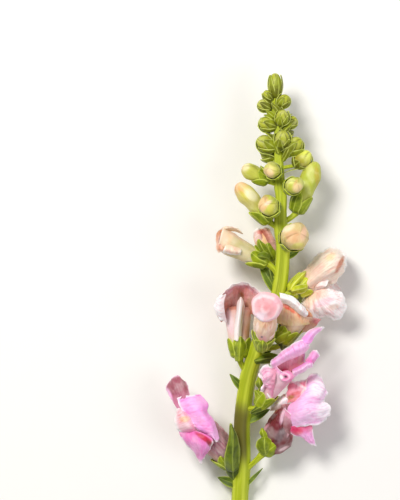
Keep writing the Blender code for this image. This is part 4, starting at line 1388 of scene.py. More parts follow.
# The separate lobes of the lips, which lie over the mouths of the flowers. A net has rows from the root
# to the free edge. Its points are a column and row of the picture and a height in millimetres.
LOBES = (
    # The hood of the highest flower
    Lobe("flower_right_upper_hood", (
        ((303, 274, 9), (304, 279, 17), (307, 284, 20.5), (310, 289, 18), (312, 293, 11)),
        ((311, 262, 8), (315, 267, 18), (319, 274, 22.5), (322, 280, 20), (325, 285, 13)),
        ((321, 252, 8), (325, 258, 19), (330, 266, 23.5), (332, 275, 21), (333.5, 284.5, 15)),
        ((333, 247.5, 9), (336, 253, 18.5), (340, 261, 21.5), (340.5, 269, 20), (339.5, 277, 14)),
        ((343, 251, 8), (345.5, 256, 13), (347, 262, 14.5), (346, 267, 14), (343.5, 271, 12))),
        LobeTint((240, 206, 184), (250, 228, 208), WHITE, BEIGE, 0.06), 0.3, 0.32, 1.7,
        spots=(Spot(340, 264, 3, 13, (206, 120, 72), 0.9, 62),
        Spot(318, 270, 5, 11, (244, 200, 190), 0.6, 40), Spot(331, 257, 4, 7, (250, 232, 170), 0.6, 30))),
    Lobe("flower_right_upper_flap", (((309, 293, 13), (311, 288, 16), (315, 281, 17)),
        ((315, 291, 17), (319, 286, 20), (322, 279, 20)), ((321, 289, 17), (326, 286, 20), (329, 280, 19))),
        LobeTint((236, 200, 180), (250, 226, 220), WHITE, BEIGE), 0.3, 0.4, 2.9),
    # Its lower lip, a white fan with crumpled pink veins
    Lobe("flower_right_upper_lower_lip", (
        ((308, 294, 13), (310, 293, 15), (313, 292, 16), (316, 291, 17), (319, 290, 17.5), (322, 289, 17.5),
         (325, 288, 17)),
        ((305, 297, 15), (309, 301, 18), (316, 302, 20), (322, 301, 21), (326, 298, 21), (328, 293, 20),
         (327, 289, 18)),
        ((302, 301, 15), (309, 310, 17.5), (320, 311, 19), (332, 311, 19.5), (337, 301, 20.5),
         (335, 293, 20), (329, 288.5, 18.5)),
        ((300, 305, 12), (310, 317.5, 12), (326, 318, 13), (341, 319, 14), (346.5, 303, 17), (341, 292, 18),
         (331, 289, 18))),
        LobeTint((244, 206, 186), (254, 240, 240), WHITE, (240, 210, 205), 0.06), 0.3, 0.34, 1.1,
        spots=(Spot(319, 295, 3, 6, (244, 170, 150), 0.6, 75),
        Spot(309, 302, 7, 11, (246, 214, 190), 0.9, 60), Spot(324, 302, 5, 14, (248, 196, 212), 0.6, 20),
        Spot(334, 307, 4, 8, (226, 180, 150), 0.5, 10))),
    # The lobes of the two upper flowers that hang to the table
    Lobe("flower_right_upper_under", (((315, 281, 9), (323, 279, 8), (331, 272, 9)),
        ((320, 289, 6), (329, 288, 4.5), (337, 282, 6)), ((328, 295, 2), (337, 294, 0.4), (342, 289, 2))),
        LobeTint((240, 214, 200), (250, 230, 226), WHITE, PEACH), 0.4, 0.3, 1.9),
    Lobe("flower_left_upper_under", (((229, 308, 9), (238, 306, 8), (247, 308, 9)),
        ((229, 298, 5), (238, 297, 3.5), (247, 298, 5)),
        ((231, 291, 1.5), (238, 289.5, 0.3), (245, 291, 1.5))),
        LobeTint((226, 180, 170), (246, 214, 212), WHITE, PEACH), 0.4, 0.3, 3.3),
    # The inside of the umbrella of the flower on the left, its white flap and its pale keel
    # Its brown root and its brown spots over and beside the keel are painted shade under the hood.
    Lobe("flower_left_upper_umbrella", (
        ((221, 322, 16), (230, 315, 14), (240, 311, 13), (250, 313, 14), (257, 317, 16)),
        ((216, 313, 20), (228, 303, 17), (240.5, 299, 15), (252, 301, 17), (260, 308, 20)),
        ((216, 304, 22), (227, 294, 20), (240.5, 288, 19), (253, 292, 20), (262, 299, 22)),
        ((219, 299, 23), (228, 289, 23.5), (240, 282, 23.5), (252, 286.5, 23.5), (264, 294, 23))),
        LobeTint((190, 118, 96), (226, 160, 156), WHITE, (250, 220, 226), 0.1), 0.5, 0.3, 3.1,
        spots=(Spot(241, 298, 5, 10, (152, 84, 40), 0.95, 90), Spot(250, 304, 5, 9, (190, 122, 78), 0.8, 90),
        Spot(227, 304, 6, 11, (212, 146, 130), 0.85, 60), Spot(229, 290, 4, 9, (242, 176, 192), 0.85, 45),
        Spot(241, 285, 4, 10, (248, 190, 206), 0.9), Spot(254, 290, 4, 10, (240, 176, 190), 0.85, -35))),
    Lobe("flower_left_upper_flap", (((227, 322, 19), (225, 313, 22), (224, 303, 24), (226, 294, 24.5)),
        ((221, 320, 20), (219, 312, 23), (218, 303, 24.5), (223, 295, 25)),
        ((217, 315, 19), (213.5, 308, 22), (215.5, 300, 23), (221, 295, 24))),
        LobeTint((250, 226, 230), (254, 246, 250), WHITE, BROWN), 0.4, 0.25, 3.9),
    # The keel is a ridge whose white is a painted highlight, with a beige stroke of painted shade on its
    # right.
    Lobe("flower_left_upper_keel", (((234.5, 340, 19.8), (237.5, 341, 21), (240.5, 340, 19.8)),
        ((234.5, 326, 20), (238, 326, 22), (242, 326, 20)),
        ((236, 312, 19.5), (239.5, 312, 22), (243.5, 312, 19.5)),
        ((237, 304, 19.5), (240.5, 303, 21.6), (244.5, 304, 19.5)),
        ((240, 297.5, 19.5), (241, 296.5, 20.6), (242, 297.5, 19.5))),
        LobeTint((250, 240, 234), WHITE, (248, 226, 218), PEACH, 0.25), 0.05, 0.1, 4.4,
        spots=(Spot(242.5, 315, 1.6, 22, (214, 170, 134), 0.8, 85),)),
    # The round lobe of the front flower
    Dome("flower_front_left_lip", (266.4, 307.5, 43), (-0.05, -0.1, 1.0), 6.3, 6.1, 3.2,
        LobeTint((234, 152, 158), (250, 196, 204), (255, 240, 242), PEACH), PEACH_LOBES, 0.22, 0.45, 0.0,
        0.75, 0.7, spots=(Spot(258, 317, 7, 11, (254, 232, 242), 0.85, 30),
        Spot(276, 300, 4, 9, (242, 176, 190), 0.6, 60))),
    Lobe("flower_front_left_back", (((257, 327, 30), (265, 324, 31), (273, 327, 30)),
        ((255.5, 316, 34), (265.5, 312, 34.5), (276, 315, 34)),
        ((254, 306, 37.5), (266, 299.5, 38), (278, 304, 37.5)),
        ((256, 302, 41), (266.5, 296, 41.5), (276, 300, 41))),
        LobeTint(PEACH, (246, 200, 204), (250, 220, 222), PEACH), 0.1, 0.2, 4.9),
    # The chin's two pale spots are painted highlights, its brown stroke painted shade in a fold, and its
    # small dark dot painted shade in a small opening.
    Lobe("flower_front_left_chin", (((257, 344, 26), (262, 345.5, 28.5), (268, 345, 28), (272, 342, 26)),
        ((254, 333, 30), (261, 336, 35.5), (268, 335, 35.5), (275, 331, 31)),
        ((253, 326, 33), (261, 327, 38.5), (269, 326, 38.5), (277, 324, 34)),
        ((254, 317, 36), (261, 317, 39.5), (269, 316, 39.5), (277, 316, 36))),
        LobeTint((206, 170, 122), (232, 194, 160), (246, 216, 194), PEACH), 0.1, 0.22, 4.7,
        spots=(Spot(262, 338, 5, 5, (236, 146, 152), 0.8), Spot(261.5, 336, 1.3, 1.6, (60, 20, 24), 1.0),
        Spot(257, 326, 2, 7, (255, 232, 220), 0.7, 80), Spot(263, 328, 1.6, 8, (186, 130, 96), 0.7, 70),
        Spot(270, 326, 2.4, 7, (255, 226, 206), 0.7, 60))),
    # The rolled white band of the flower beside it, and the streaked throat under the band
    # The olive spot low on the throat is painted shade on the tube.
    Lobe("flower_front_right_throat", (
        ((274, 322, 25), (284, 325, 27), (294, 326, 28), (303, 325, 27), (310, 324, 24)),
        ((277, 309, 26), (286, 312, 29), (295, 316, 30), (303, 320, 29), (309, 321, 26)),
        ((281, 301, 27), (288, 302, 29), (296, 307, 30), (303, 313, 30), (308, 317, 27))),
        LobeTint((216, 188, 130), (236, 190, 146), (240, 150, 110), BEIGE, 0.05), 0.1, 0.3, 4.4,
        spots=(Spot(286, 306.5, 2.6, 6, (236, 84, 50), 0.9, -40),
        Spot(292, 310.5, 2.2, 5, (240, 96, 60), 0.8, -40),
        Spot(299, 315.5, 1.8, 4, (240, 120, 90), 0.6, -40), Spot(280, 318, 5, 8, (204, 166, 100), 0.6, 0))),
    Lobe("flower_front_right_band", (
        ((281, 303, 29), (287, 304, 31), (294, 309, 32), (300, 314, 32), (305, 317, 30)),
        ((280, 298, 32.5), (288, 299, 35), (296, 304.5, 36), (302, 310, 36), (307, 315, 33)),
        ((280, 293, 31), (288, 294.5, 33), (297, 300.5, 34), (303, 306, 34), (309, 312, 31))),
        LobeTint(CREAM, WHITE, WHITE, (246, 214, 200), 0.05), 0.25, 0.2, 3.3),
    Lobe("flower_front_right_side", (((290, 336, 18), (300, 333, 20), (312, 330, 19)),
        ((291, 326, 23), (303, 324, 25), (317, 324, 22)), ((296, 317, 23), (307, 317, 25), (321, 319, 22))),
        LobeTint((196, 150, 112), (200, 148, 118), (220, 146, 146), BEIGE, 0.05), 0.15, 0.3, 5.0,
        spots=(Spot(317, 321, 4, 6, (190, 84, 100), 0.8),)),
    # The curled end of the bud that has just opened
    Lobe("bud_opening_left_end", (((226, 230, 17), (221, 230, 17), (217, 233, 17)),
        ((227, 238, 22), (220, 240, 23), (215.5, 241, 20)),
        ((227, 247, 24), (221, 248.5, 25), (216, 247.5, 22)),
        ((232, 251, 23), (226, 252, 24), (219, 252, 22))),
        LobeTint((206, 140, 100), (232, 170, 130), (252, 232, 210), BROWN, 0.12), 0.3, 0.25, 5.9,
        spots=(Spot(221, 240, 3, 7, (150, 76, 40), 0.9, 80),)),
    Lobe("bud_opening_left_lip", (((226, 244, 25), (233, 246, 26), (241, 249, 25)),
        ((224, 249, 26.5), (232, 250.5, 27), (241, 252.5, 25.5)),
        ((223, 253, 24), (231, 254, 24.5), (240, 255, 23.5))),
        LobeTint((240, 206, 170), (250, 226, 200), WHITE, BEIGE, 0.1), 0.25, 0.2, 6.0),
    Lobe("bud_opening_left_back", (((227, 231, 20), (235, 231, 21), (243, 234, 21)),
        ((222, 229, 22), (231, 227, 23.5), (241, 231, 23)),
        ((217, 231, 20), (227, 226, 20.5), (238, 228.5, 20))),
        LobeTint((214, 186, 140), (226, 200, 160), (252, 236, 214), BEIGE, 0.1), 0.2, 0.25, 6.1),
    # The two lobes that part at the tip of the bud behind the stem
    Lobe("bud_back_left_left", (((261, 230.5, 12), (266, 241, 12.5), (272, 253, 11.5)),
        ((258, 228, 14.5), (260.5, 238, 14.5), (267, 250, 12.5)),
        ((254.5, 231.5, 13.5), (255.5, 241, 13), (262, 250, 11.5)),
        ((254, 237, 10), (256, 244, 10), (262, 251, 9.5))),
        LobeTint((196, 100, 80), (248, 214, 206), WHITE, BLUSH, 0.12), 0.2, 0.2, 6.4,
        spots=(Spot(260.5, 232, 3, 4, (236, 110, 90), 0.9),)),
    Lobe("bud_back_left_right", (((261, 231, 12.5), (266, 241.5, 13), (272.5, 255, 12)),
        ((265, 227.5, 15), (270.5, 239.5, 16), (275, 252, 14)),
        ((269.5, 229, 14), (275, 240, 14.5), (277, 252, 13)),
        ((270, 231, 11), (275.5, 241, 11), (277.5, 252, 11))),
        LobeTint((170, 84, 60), (238, 178, 164), (250, 226, 214), BLUSH, 0.12), 0.15, 0.2, 6.5),
    # The upper lip of the middle flower, rolled into a band, and the piece beyond it
    Lobe("flower_right_middle_throat", (((274, 374, 24), (284, 374, 24), (294, 370, 25), (304, 366, 25)),
        ((273, 367, 25), (283, 364, 26), (294, 360, 27), (305, 356, 27)),
        ((276, 360, 26), (286, 355, 27), (296, 350, 28), (306, 346, 28))),
        LobeTint((240, 110, 140), (255, 176, 194), LILAC, DEEP), 0.2, 0.35, 5.3, PINK_LOBES,
        spots=(Spot(285, 371, 4, 6, (216, 36, 96), 0.9, 30), Spot(293, 366, 3, 8, (240, 110, 140), 0.6, 40),
        Spot(301, 360, 4, 6, (226, 150, 130), 0.7, 40))),
    Lobe("flower_right_middle_band", (
        ((273, 369, 28), (284, 362, 30), (295, 357.5, 31), (304, 353, 31), (309, 347.5, 30)),
        ((270, 364.5, 29), (281, 357.5, 32), (292, 350.5, 33.5), (303, 346.5, 33.5), (310, 344.5, 31)),
        ((271, 361, 27), (279, 354, 29), (289, 346.5, 31), (300, 340, 31.5), (311.5, 342, 30))),
        LobeTint((248, 184, 220), (251, 184, 236), WHITE, LILAC, 0.06), 0.25, 0.25, 5.1, PINK_LOBES,
        spots=(Spot(290, 359, 2.5, 12, (240, 160, 196), 0.6, 30),)),
    Lobe("flower_right_middle_tip", (((300, 341.5, 31), (305, 343.5, 32.3), (311, 343, 31)),
        ((306, 333, 29.5), (311, 335, 31.5), (315, 336.5, 29.5)),
        ((314, 328, 28), (316, 330, 30), (319, 332.5, 28)),
        ((322, 326, 27), (323.5, 326.5, 28), (324.5, 328, 27))),
        LobeTint(LILAC, (248, 176, 232), WHITE, LILAC, 0.12), 0.15, 0.2, 5.6, PINK_LOBES),
    Lobe("flower_right_middle_flap", (((305, 361, 28), (308, 363, 29), (312, 365, 28)),
        ((309, 355, 29), (313, 358, 31), (317, 360, 29)), ((313, 349, 28), (317, 351, 29), (320, 355, 28))),
        LobeTint((236, 130, 190), (246, 166, 222), WHITE, LILAC, 0.1), 0.2, 0.2, 5.9, PINK_LOBES),
    Lobe("flower_right_middle_roll", (((292, 370, 27), (300, 366, 29), (307, 362, 30), (312, 362, 29)),
        ((292.5, 373, 30), (301, 369.5, 33), (308, 365, 33), (313, 364, 31)),
        ((294, 377, 27), (302, 373.5, 29), (309, 369, 30), (313, 367.5, 29))),
        LobeTint(LILAC, (253, 198, 238), WHITE, DEEP, 0.08), 0.2, 0.15, 6.2, PINK_LOBES),
    # The curl's dark centre is painted shade in its hollow, and its white spot a painted highlight.
    Dome("flower_right_middle_curl", (284.5, 377.5, 31.5), (-0.35, -0.15, 1.0), 2.9, 2.2, 3.0,
        LobeTint((60, 20, 36), (244, 140, 190), WHITE, DEEP), PINK_LOBES, 0.06, 0.3, 2.2, 0.4, 1.9,
        spots=(Spot(280, 376.5, 3, 4, WHITE, 0.8),)),
    Lobe("flower_right_middle_fringe", (((276, 370, 29), (275, 380, 29), (273, 393, 24)),
        ((270, 366, 31), (269, 379, 30), (271, 401, 23)), ((264, 365, 29), (264.5, 383, 28), (266, 390, 24)),
        ((258.5, 374, 26), (262, 386, 26), (260.5, 395, 22))),
        LobeTint((230, 128, 162), (252, 190, 218), WHITE, MAUVE, 0.12), 0.7, 0.5, 6.6, PINK_LOBES,
        veining=1.6),
    # The broad face of the lower right flower, its curled inside and a pale flap
    Lobe("flower_right_lower_face", (
        ((287.5, 430, 18), (287, 418, 20), (289, 406, 20), (300, 396, 20), (305, 383, 19)),
        ((298, 427, 21), (298, 416, 25), (299, 403, 25), (306, 389, 24), (310, 374.5, 20)),
        ((308, 426, 21), (309, 413, 25.5), (310, 400, 26), (313, 386, 25), (316, 373.5, 21)),
        ((317, 425, 21), (320, 413, 24.5), (319, 400.5, 24.5), (322, 389, 24.5), (323, 379, 20)),
        ((326, 419.5, 19), (331, 409.5, 21.5), (325, 400.5, 20.5), (327, 394, 21.5), (325, 385, 19))),
        LobeTint((250, 182, 232), (252, 202, 240), WHITE, LILAC, 0.05), 0.3, 0.25, 7.1, PINK_LOBES,
        spots=(Spot(324, 411, 10, 15, (254, 240, 250), 0.85, 100),
        Spot(319, 386, 9, 15, (254, 240, 250), 0.85, 70), Spot(305, 383, 2.5, 9, (226, 100, 130), 0.7, 80))),
    Lobe("flower_right_lower_inside", (((287, 403, 19), (296, 401, 22), (305, 397, 23)),
        ((287, 393, 20.5), (296, 391, 24), (306, 390, 23.5)),
        ((290, 384, 19), (297, 380, 22), (307, 380, 21))),
        LobeTint((250, 150, 150), (250, 148, 172), WHITE, DEEP), 0.5, 0.6, 7.5, PINK_LOBES,
        spots=(Spot(299, 385, 2, 9, (255, 226, 228), 0.85, -25),
        Spot(291, 397, 3, 5, (196, 140, 66), 0.85, 30), Spot(296, 393, 2.5, 8, (214, 84, 90), 0.8, 15),
        Spot(303, 391, 1.6, 7, (255, 214, 214), 0.8, 60))),
    Lobe("flower_right_lower_flap", (((270, 411, 14), (277, 410, 17), (286, 408, 18)),
        ((273, 404, 16), (280, 402, 20), (288, 399, 20)), ((279, 397, 15), (284, 394, 18), (291, 391, 18))),
        LobeTint((226, 190, 180), (252, 240, 240), WHITE, MAUVE), 0.3, 0.35, 7.9, PINK_LOBES,
        spots=(Spot(285.5, 394, 4, 6, (206, 150, 84), 0.9),)),
    Lobe("flower_right_lower_tongue", (((288, 427, 20), (300, 425, 21), (312, 424, 19.5)),
        ((291, 434, 18), (304, 432.5, 19.8), (313, 432, 18.5)),
        ((302, 438, 17), (308, 438.5, 18.3), (314.5, 439, 17)),
        ((310, 444, 15.3), (313, 445, 16), (316, 446, 15.3))),
        LobeTint(DEEP, (246, 166, 226), WHITE, LILAC, 0.08), 0.2, 0.3, 8.1, PINK_LOBES,
        spots=(Spot(297, 431, 6, 8, (222, 40, 100), 1.0),)),
    # The tube under the face: its dark maroon is painted shade under the face, with darker spots and a brown
    # fold of painted shade and pale streaks of painted highlight.
    Lobe("flower_right_lower_panel", (((268, 454, 12), (280, 453.5, 15.5), (291, 446, 13)),
        ((263, 437, 15), (277, 437, 20), (293, 434, 17.5)),
        ((267, 423, 16), (279, 420, 21.5), (291, 418, 19)),
        ((277, 407, 16), (284, 404, 19.5), (291, 404, 18.5))),
        LobeTint((118, 50, 50), (116, 34, 42), (186, 120, 122), MAUVE, 0.05), 0.1, 0.4, 8.2, PINK_LOBES,
        veining=1.4, spots=(Spot(283, 416, 3, 11, (232, 190, 204), 0.9, 72),
        Spot(270, 420, 4, 12, (80, 10, 14), 1.0, 45), Spot(280, 436, 5, 14, (84, 2, 18), 1.0, 62),
        Spot(265, 430, 1.8, 9, (214, 160, 168), 0.7, 56), Spot(289, 431, 1.6, 9, (216, 156, 168), 0.7, 75),
        Spot(284, 449, 2, 7, (232, 190, 194), 0.8, 25), Spot(275, 411, 2.5, 8, (160, 118, 88), 0.8, 40))),
    # The lobe behind the lower left flower, seen against the light
    Lobe("flower_left_lower_back_lobe", (((179, 411, 20), (185, 410, 22), (191, 408, 23)),
        ((171, 399, 18.5), (181, 396, 20.5), (190, 395, 20.5)),
        ((166, 388, 15), (176, 382, 18), (187, 384, 17)),
        ((170, 382, 14), (178, 376, 16), (183, 378.5, 15))),
        LobeTint((216, 126, 166), (162, 90, 104), (242, 190, 220), MAUVE, 0.06), 0.3, 0.4, 8.0, PINK_LOBES,
        spots=(Spot(169, 396, 4, 10, (240, 170, 220), 0.8, 110),)),
    # Its upper lip, laid over its mouth, its palate and its lower lobes
    Lobe("flower_left_lower_upper_lip", (
        ((200, 394.5, 21), (208, 404, 21), (207, 412, 21.5), (213, 419, 22), (217, 430, 22), (219, 438, 22)),
        ((192, 395, 22), (198, 404, 24), (202, 413, 25), (208, 422, 25), (213, 432, 24.5), (217, 442, 23.5)),
        ((184, 396, 21), (190, 406, 24), (195, 415, 25), (201, 424, 25), (208, 432, 24.8), (214, 439, 24)),
        ((176.5, 398, 20), (181, 409, 22), (187, 417, 23), (192, 424, 23), (198, 430, 22), (208, 436, 19))),
        LobeTint((244, 150, 222), (248, 164, 232), WHITE, LILAC, 0.05), 0.35, 0.32, 8.3, PINK_LOBES,
        spots=(Spot(205, 425, 4, 14, (250, 150, 206), 0.6, -55),)),
    Lobe("flower_left_lower_palate", (((200, 431, 20), (196, 422, 21), (189, 412, 21), (182, 406, 19)),
        ((194, 434, 21), (188, 426, 25), (183, 416, 24.5), (178, 408, 20)),
        ((184, 435, 17), (177, 429, 20), (174.5, 421, 20), (176.5, 412, 17))),
        LobeTint((244, 150, 190), (250, 198, 210), WHITE, PEACH, 0.1), 0.25, 0.25, 8.8,
        spots=(Spot(185, 419, 4, 7, (250, 206, 140), 0.6), Spot(189, 431, 3.5, 10, (246, 150, 190), 0.8))),
    Lobe("flower_left_lower_tube", (((238, 458, 11), (234, 466, 13.5), (228, 471, 10)),
        ((233, 442, 13), (227, 452, 18), (219, 463, 12)), ((223, 428, 16), (217, 440, 21), (211, 456, 15)),
        ((214, 420, 18), (209, 430, 21), (206, 447, 17))),
        LobeTint((150, 124, 96), (184, 138, 142), (214, 180, 180), MAUVE, 0.05), 0.1, 0.4, 9.1, PINK_LOBES,
        veining=1.3),
    Lobe("flower_left_lower_lower_lip", (
        ((179, 431, 18.5), (189, 431, 21), (200, 432, 23.5), (212, 438, 23)),
        ((182, 440, 18.5), (192, 441, 22.5), (203, 442, 24), (213.5, 443, 23)),
        ((188, 447.5, 16), (197, 451, 20.5), (204, 451, 22), (210, 450, 20.5)),
        ((196, 456, 14), (200, 462.5, 15.5), (202, 461, 16.5), (205, 455, 17.5))),
        LobeTint((236, 120, 192), (240, 140, 208), WHITE, LILAC, 0.08), 0.35, 0.3, 9.4, PINK_LOBES,
        spots=(Spot(205, 438.5, 3.4, 15, (200, 30, 76), 1.0, -33),
        Spot(210, 444, 3, 7, (150, 20, 46), 0.95, -50), Spot(186, 440, 3, 8, (240, 130, 200), 0.5, -60))),
)

PALE_GREEN, FRESH_GREEN, APRICOT = (198, 200, 78), (178, 190, 48), (240, 192, 146)
STRAW, ROSE, SAND = (224, 214, 124), (230, 158, 128), (221, 197, 136)

CLOSED_BUDS = (
    ClosedBud(Floret("bud_left_first", (4.6, 57.0, 19.5), (-5.8, 62.6, 21.0), (0, 1, 0), 0.85, 53.0),
        BudTint(FRESH_GREEN, PALE_GREEN, STRAW, PALE_GREEN), 0.4,
        (Spot(244, 166, 7, 7, (248, 236, 196), 0.6), Spot(241, 168, 3, 5, (222, 180, 130), 0.5, 60))),
    ClosedBud(Floret("bud_front_first", (8.4, 60.0, 23.0), (5.2, 61.9, 30.0), (0, 1, 0), 0.82, 55.0),
        BudTint(FRESH_GREEN, PALE_GREEN, STRAW, FRESH_GREEN), 1.4,
        (Spot(268, 173, 6, 8, (244, 206, 160), 0.8, -40), Spot(274, 164, 4, 8, (150, 160, 50), 0.6, -20))),
    ClosedBud(Floret("bud_front_second", (13.9, 53.7, 24.0), (17.2, 55.5, 31.6), (0, 1, 0), 0.88, 49.0),
        BudTint(FRESH_GREEN, FRESH_GREEN, PALE_GREEN, PALE_GREEN), 2.4,
        (Spot(297, 188, 6, 7, (246, 210, 160), 0.8, 40), Spot(295, 183, 2, 5, (236, 160, 120), 0.4, 60),
        Spot(289, 181, 4, 7, (240, 244, 150), 0.6))),
    # Its two pale spots are painted highlights.
    ClosedBud(Floret("bud_right_first", (17.0, 44.0, 17.5), (25.4, 64.8, 18.5), (0, 1, 0), 1.06, 37.0),
        BudTint(PALE_GREEN, PALE_GREEN, STRAW, FRESH_GREEN), 3.1,
        (Spot(310, 171, 5, 16, (232, 232, 150), 0.4, 100), Spot(317, 176, 3.5, 13, (196, 172, 50), 0.7, 95),
        Spot(307, 187, 4, 10, (230, 232, 150), 0.4, 110))),
    ClosedBud(Floret("bud_left_second", (5.2, 40.0, 19.0), (-8.0, 55.6, 21.0), (0, 1, 0), 0.97, 34.0),
        BudTint(PALE_GREEN, STRAW, APRICOT, PALE_GREEN), 4.2,
        (Spot(241, 190, 3, 7, (240, 180, 110), 0.8, -60), Spot(244, 196, 3, 9, (214, 206, 80), 0.7, -50),
        Spot(251, 195, 6, 10, (250, 246, 216), 0.7, -40))),
    ClosedBud(Floret("bud_front_third", (7.2, 44.6, 24.5), (3.4, 47.4, 32.1), (0, 1, 0), 1.05, 40.0),
        BudTint(FRESH_GREEN, PALE_GREEN, PALE_GREEN, STRAW), 5.6,
        (Spot(263, 204, 6, 11, (238, 184, 140), 0.8, 75), Spot(268, 203, 2.4, 6, (246, 214, 190), 0.8, 30),
        Spot(271, 208, 4, 8, (214, 208, 80), 0.7, 60), Spot(274, 198, 4, 8, (160, 170, 60), 0.6, 60))),
    ClosedBud(Floret("bud_front_fourth", (13.6, 31.4, 22.0), (18.0, 34.9, 33.5), (0, 1, 0), 1.42, 27.0),
        BudTint(PALE_GREEN, SAND, SAND, SAND), 6.1, (Spot(293, 237, 9, 12, (226, 166, 122), 0.7, 10),
        Spot(303, 234, 4, 10, (242, 190, 166), 0.7, 80), Spot(287, 227, 6, 11, (252, 238, 208), 0.7, 30),
        Spot(297, 246, 4, 9, (216, 210, 96), 0.7, 10), Spot(283, 240, 4, 8, (228, 206, 120), 0.6, -60))),
    ClosedBud(Floret("bud_back_left", (7.4, 24.0, 12.0), (0.9, 36.2, 9.6), (0, 1, 0), 0.95, 14.0),
        BudTint(PALE_GREEN, APRICOT, ROSE, STRAW), 7.7),
)

# Green buds near the tip: centre x, y, z, the azimuth and elevation they point to, radius, how open
GREEN_BUDS = (
    (8.1, 97.0, 18.8, 92, 0, 2.85, 0.45), (5.0, 92.6, 19.4, 130, 20, 2.0, 0.5),
    (11.4, 90.2, 20.0, 50, 20, 2.6, 0.55), (3.5, 88.4, 19.2, 150, 5, 2.5, 0.5),
    (10.8, 83.4, 21.8, 75, 45, 2.9, 0.5), (14.3, 81.5, 19.0, 25, 5, 2.6, 0.55),
    (4.7, 80.6, 20.0, 160, 20, 3.1, 0.5), (4.2, 72.4, 19.8, 150, 15, 3.5, 0.6),
    (10.8, 74.2, 22.2, 75, 40, 3.3, 0.6), (15.8, 71.5, 20.0, 35, 15, 3.6, 0.6),
    (19.6, 66.0, 19.4, 40, 5, 3.5, 1.1), (8.5, 88.0, 15.6, 90, -40, 2.4, 0.3),
    (12.2, 76.5, 15.4, 30, -40, 2.8, 0.4), (5.4, 67.5, 15.0, 160, -40, 3.0, 0.5),
)
OLIVE, BRIGHT = (178, 184, 44), (226, 232, 84)
STRETCH, TOP_STRETCH = 1.22, 1.75

# The sepals and bracts that show in the picture, each as a net like those of the lobes
LEAF_NETS = {
    "flower_right_upper_first": (((287, 291, 19), (290.5, 290, 21.5), (294, 288.5, 20)),
        ((290, 283.6, 19), (294, 284, 22.5), (299, 285, 20.5)),
        ((297.3, 275.5, 18), (299.5, 278, 22.5), (302.3, 281.5, 20.5)),
        ((302, 272.5, 17), (303.2, 274.2, 20), (304, 277.5, 18.5)),
        ((305.9, 271.4, 16), (306.4, 271.8, 16.5), (306, 272.4, 16))),
    "flower_right_upper_second": (((291, 288, 21), (292, 290.5, 22), (292, 293.5, 19.5)),
        ((297, 285.5, 22), (298, 289.5, 23.5), (299, 294, 21)),
        ((302.5, 284.6, 21.5), (303.5, 288, 22.5), (304.5, 292, 20.5)),
        ((307, 285.6, 20), (307.6, 286.8, 20.3), (307.4, 288.2, 20))),
    "flower_left_upper": (((236, 361, 17), (239, 361.5, 19), (242.5, 361, 17)),
        ((234.3, 354, 17.5), (239.3, 354, 20.5), (245, 354, 17.5)),
        ((234.6, 346, 18.5), (240, 346, 21.8), (246.8, 346, 18.5)),
        ((237.5, 340, 20), (240.6, 340, 22), (244.5, 340.5, 20)),
        ((240, 336.6, 21.5), (240.7, 336.4, 21.8), (241.4, 336.8, 21.5))),
    "flower_front_left_left": (((256, 349.5, 24), (258.5, 350.5, 26), (261, 351, 26)),
        ((253.8, 341, 27), (256.5, 342, 30), (260, 343, 31)),
        ((254, 331.5, 31), (254.6, 331, 31.3), (255.3, 331.8, 31.5))),
    "flower_front_left_right": (((263, 351, 26), (266, 350.5, 26), (269, 349, 24)),
        ((265.5, 343, 31), (269, 342, 30.5), (272.3, 341, 27.5)),
        ((271.3, 332.3, 31.5), (272, 332, 31.5), (272.7, 332.8, 31))),
    "flower_front_left_middle": (((258, 351, 26.5), (262, 351.7, 27.5), (266, 351, 26.5)),
        ((257.5, 345.5, 30), (262.5, 345.5, 32.5), (267.5, 345, 30)),
        ((262, 339.3, 33), (262.8, 339, 33.3), (263.6, 339.3, 33))),
    "flower_front_right_first": (((275, 337, 22), (275, 341, 23.5), (277.5, 344, 22.5)),
        ((277, 331, 23.5), (280, 336, 26.5), (282.5, 342.2, 24)),
        ((285.5, 327.2, 24), (287, 332.5, 27), (288.5, 339.6, 24.5)),
        ((292, 326.6, 23.5), (293, 330.5, 25.5), (293.2, 335.6, 24)),
        ((294.8, 328, 23), (296, 330.2, 23.6), (295.6, 332.5, 23.2))),
    "flower_right_middle_first": (((261, 390, 20), (264, 391, 21), (267, 391, 20)),
        ((256, 384, 21), (260, 384, 23.5), (265, 384, 22.5)),
        ((258, 376.8, 22), (259, 376.5, 22.3), (260, 376.8, 22))),
    "flower_right_middle_second": (((261, 402, 20), (264, 402.5, 21.5), (268, 401, 20.5)),
        ((255.5, 397, 20.5), (260.5, 396.5, 23), (266, 394, 22.5)),
        ((254.6, 391, 21), (255.2, 390.3, 21.2), (256.3, 390.2, 21))),
    "flower_right_lower_upper": (((262, 438, 17), (265, 438.5, 18), (268, 438.5, 17)),
        ((259.5, 433, 18), (263, 433, 19.5), (266.3, 433.5, 18.5)),
        ((261, 428.3, 18.3), (262, 428, 18.5), (263.2, 428.5, 18.3))),
    "flower_right_lower_main": (((262, 454, 14.5), (266, 454.5, 15.5), (270, 453, 14.5)),
        ((256.5, 448, 16), (264.5, 447.5, 19), (273, 447, 16)),
        ((257, 441.5, 17.5), (264.5, 441, 20), (272.5, 441.5, 17.5)),
        ((262.5, 437.2, 18.5), (265, 436.6, 18.8), (267.5, 437.2, 18.5))),
    "bud_opening_left": (((261, 251, 22.5), (264.5, 251, 24), (267.5, 250, 22.5)),
        ((257, 245.5, 23), (261, 245, 25.5), (265.5, 245, 23.5)),
        ((257.3, 239.5, 24), (258.3, 239, 24.2), (259.8, 239.3, 24))),
}
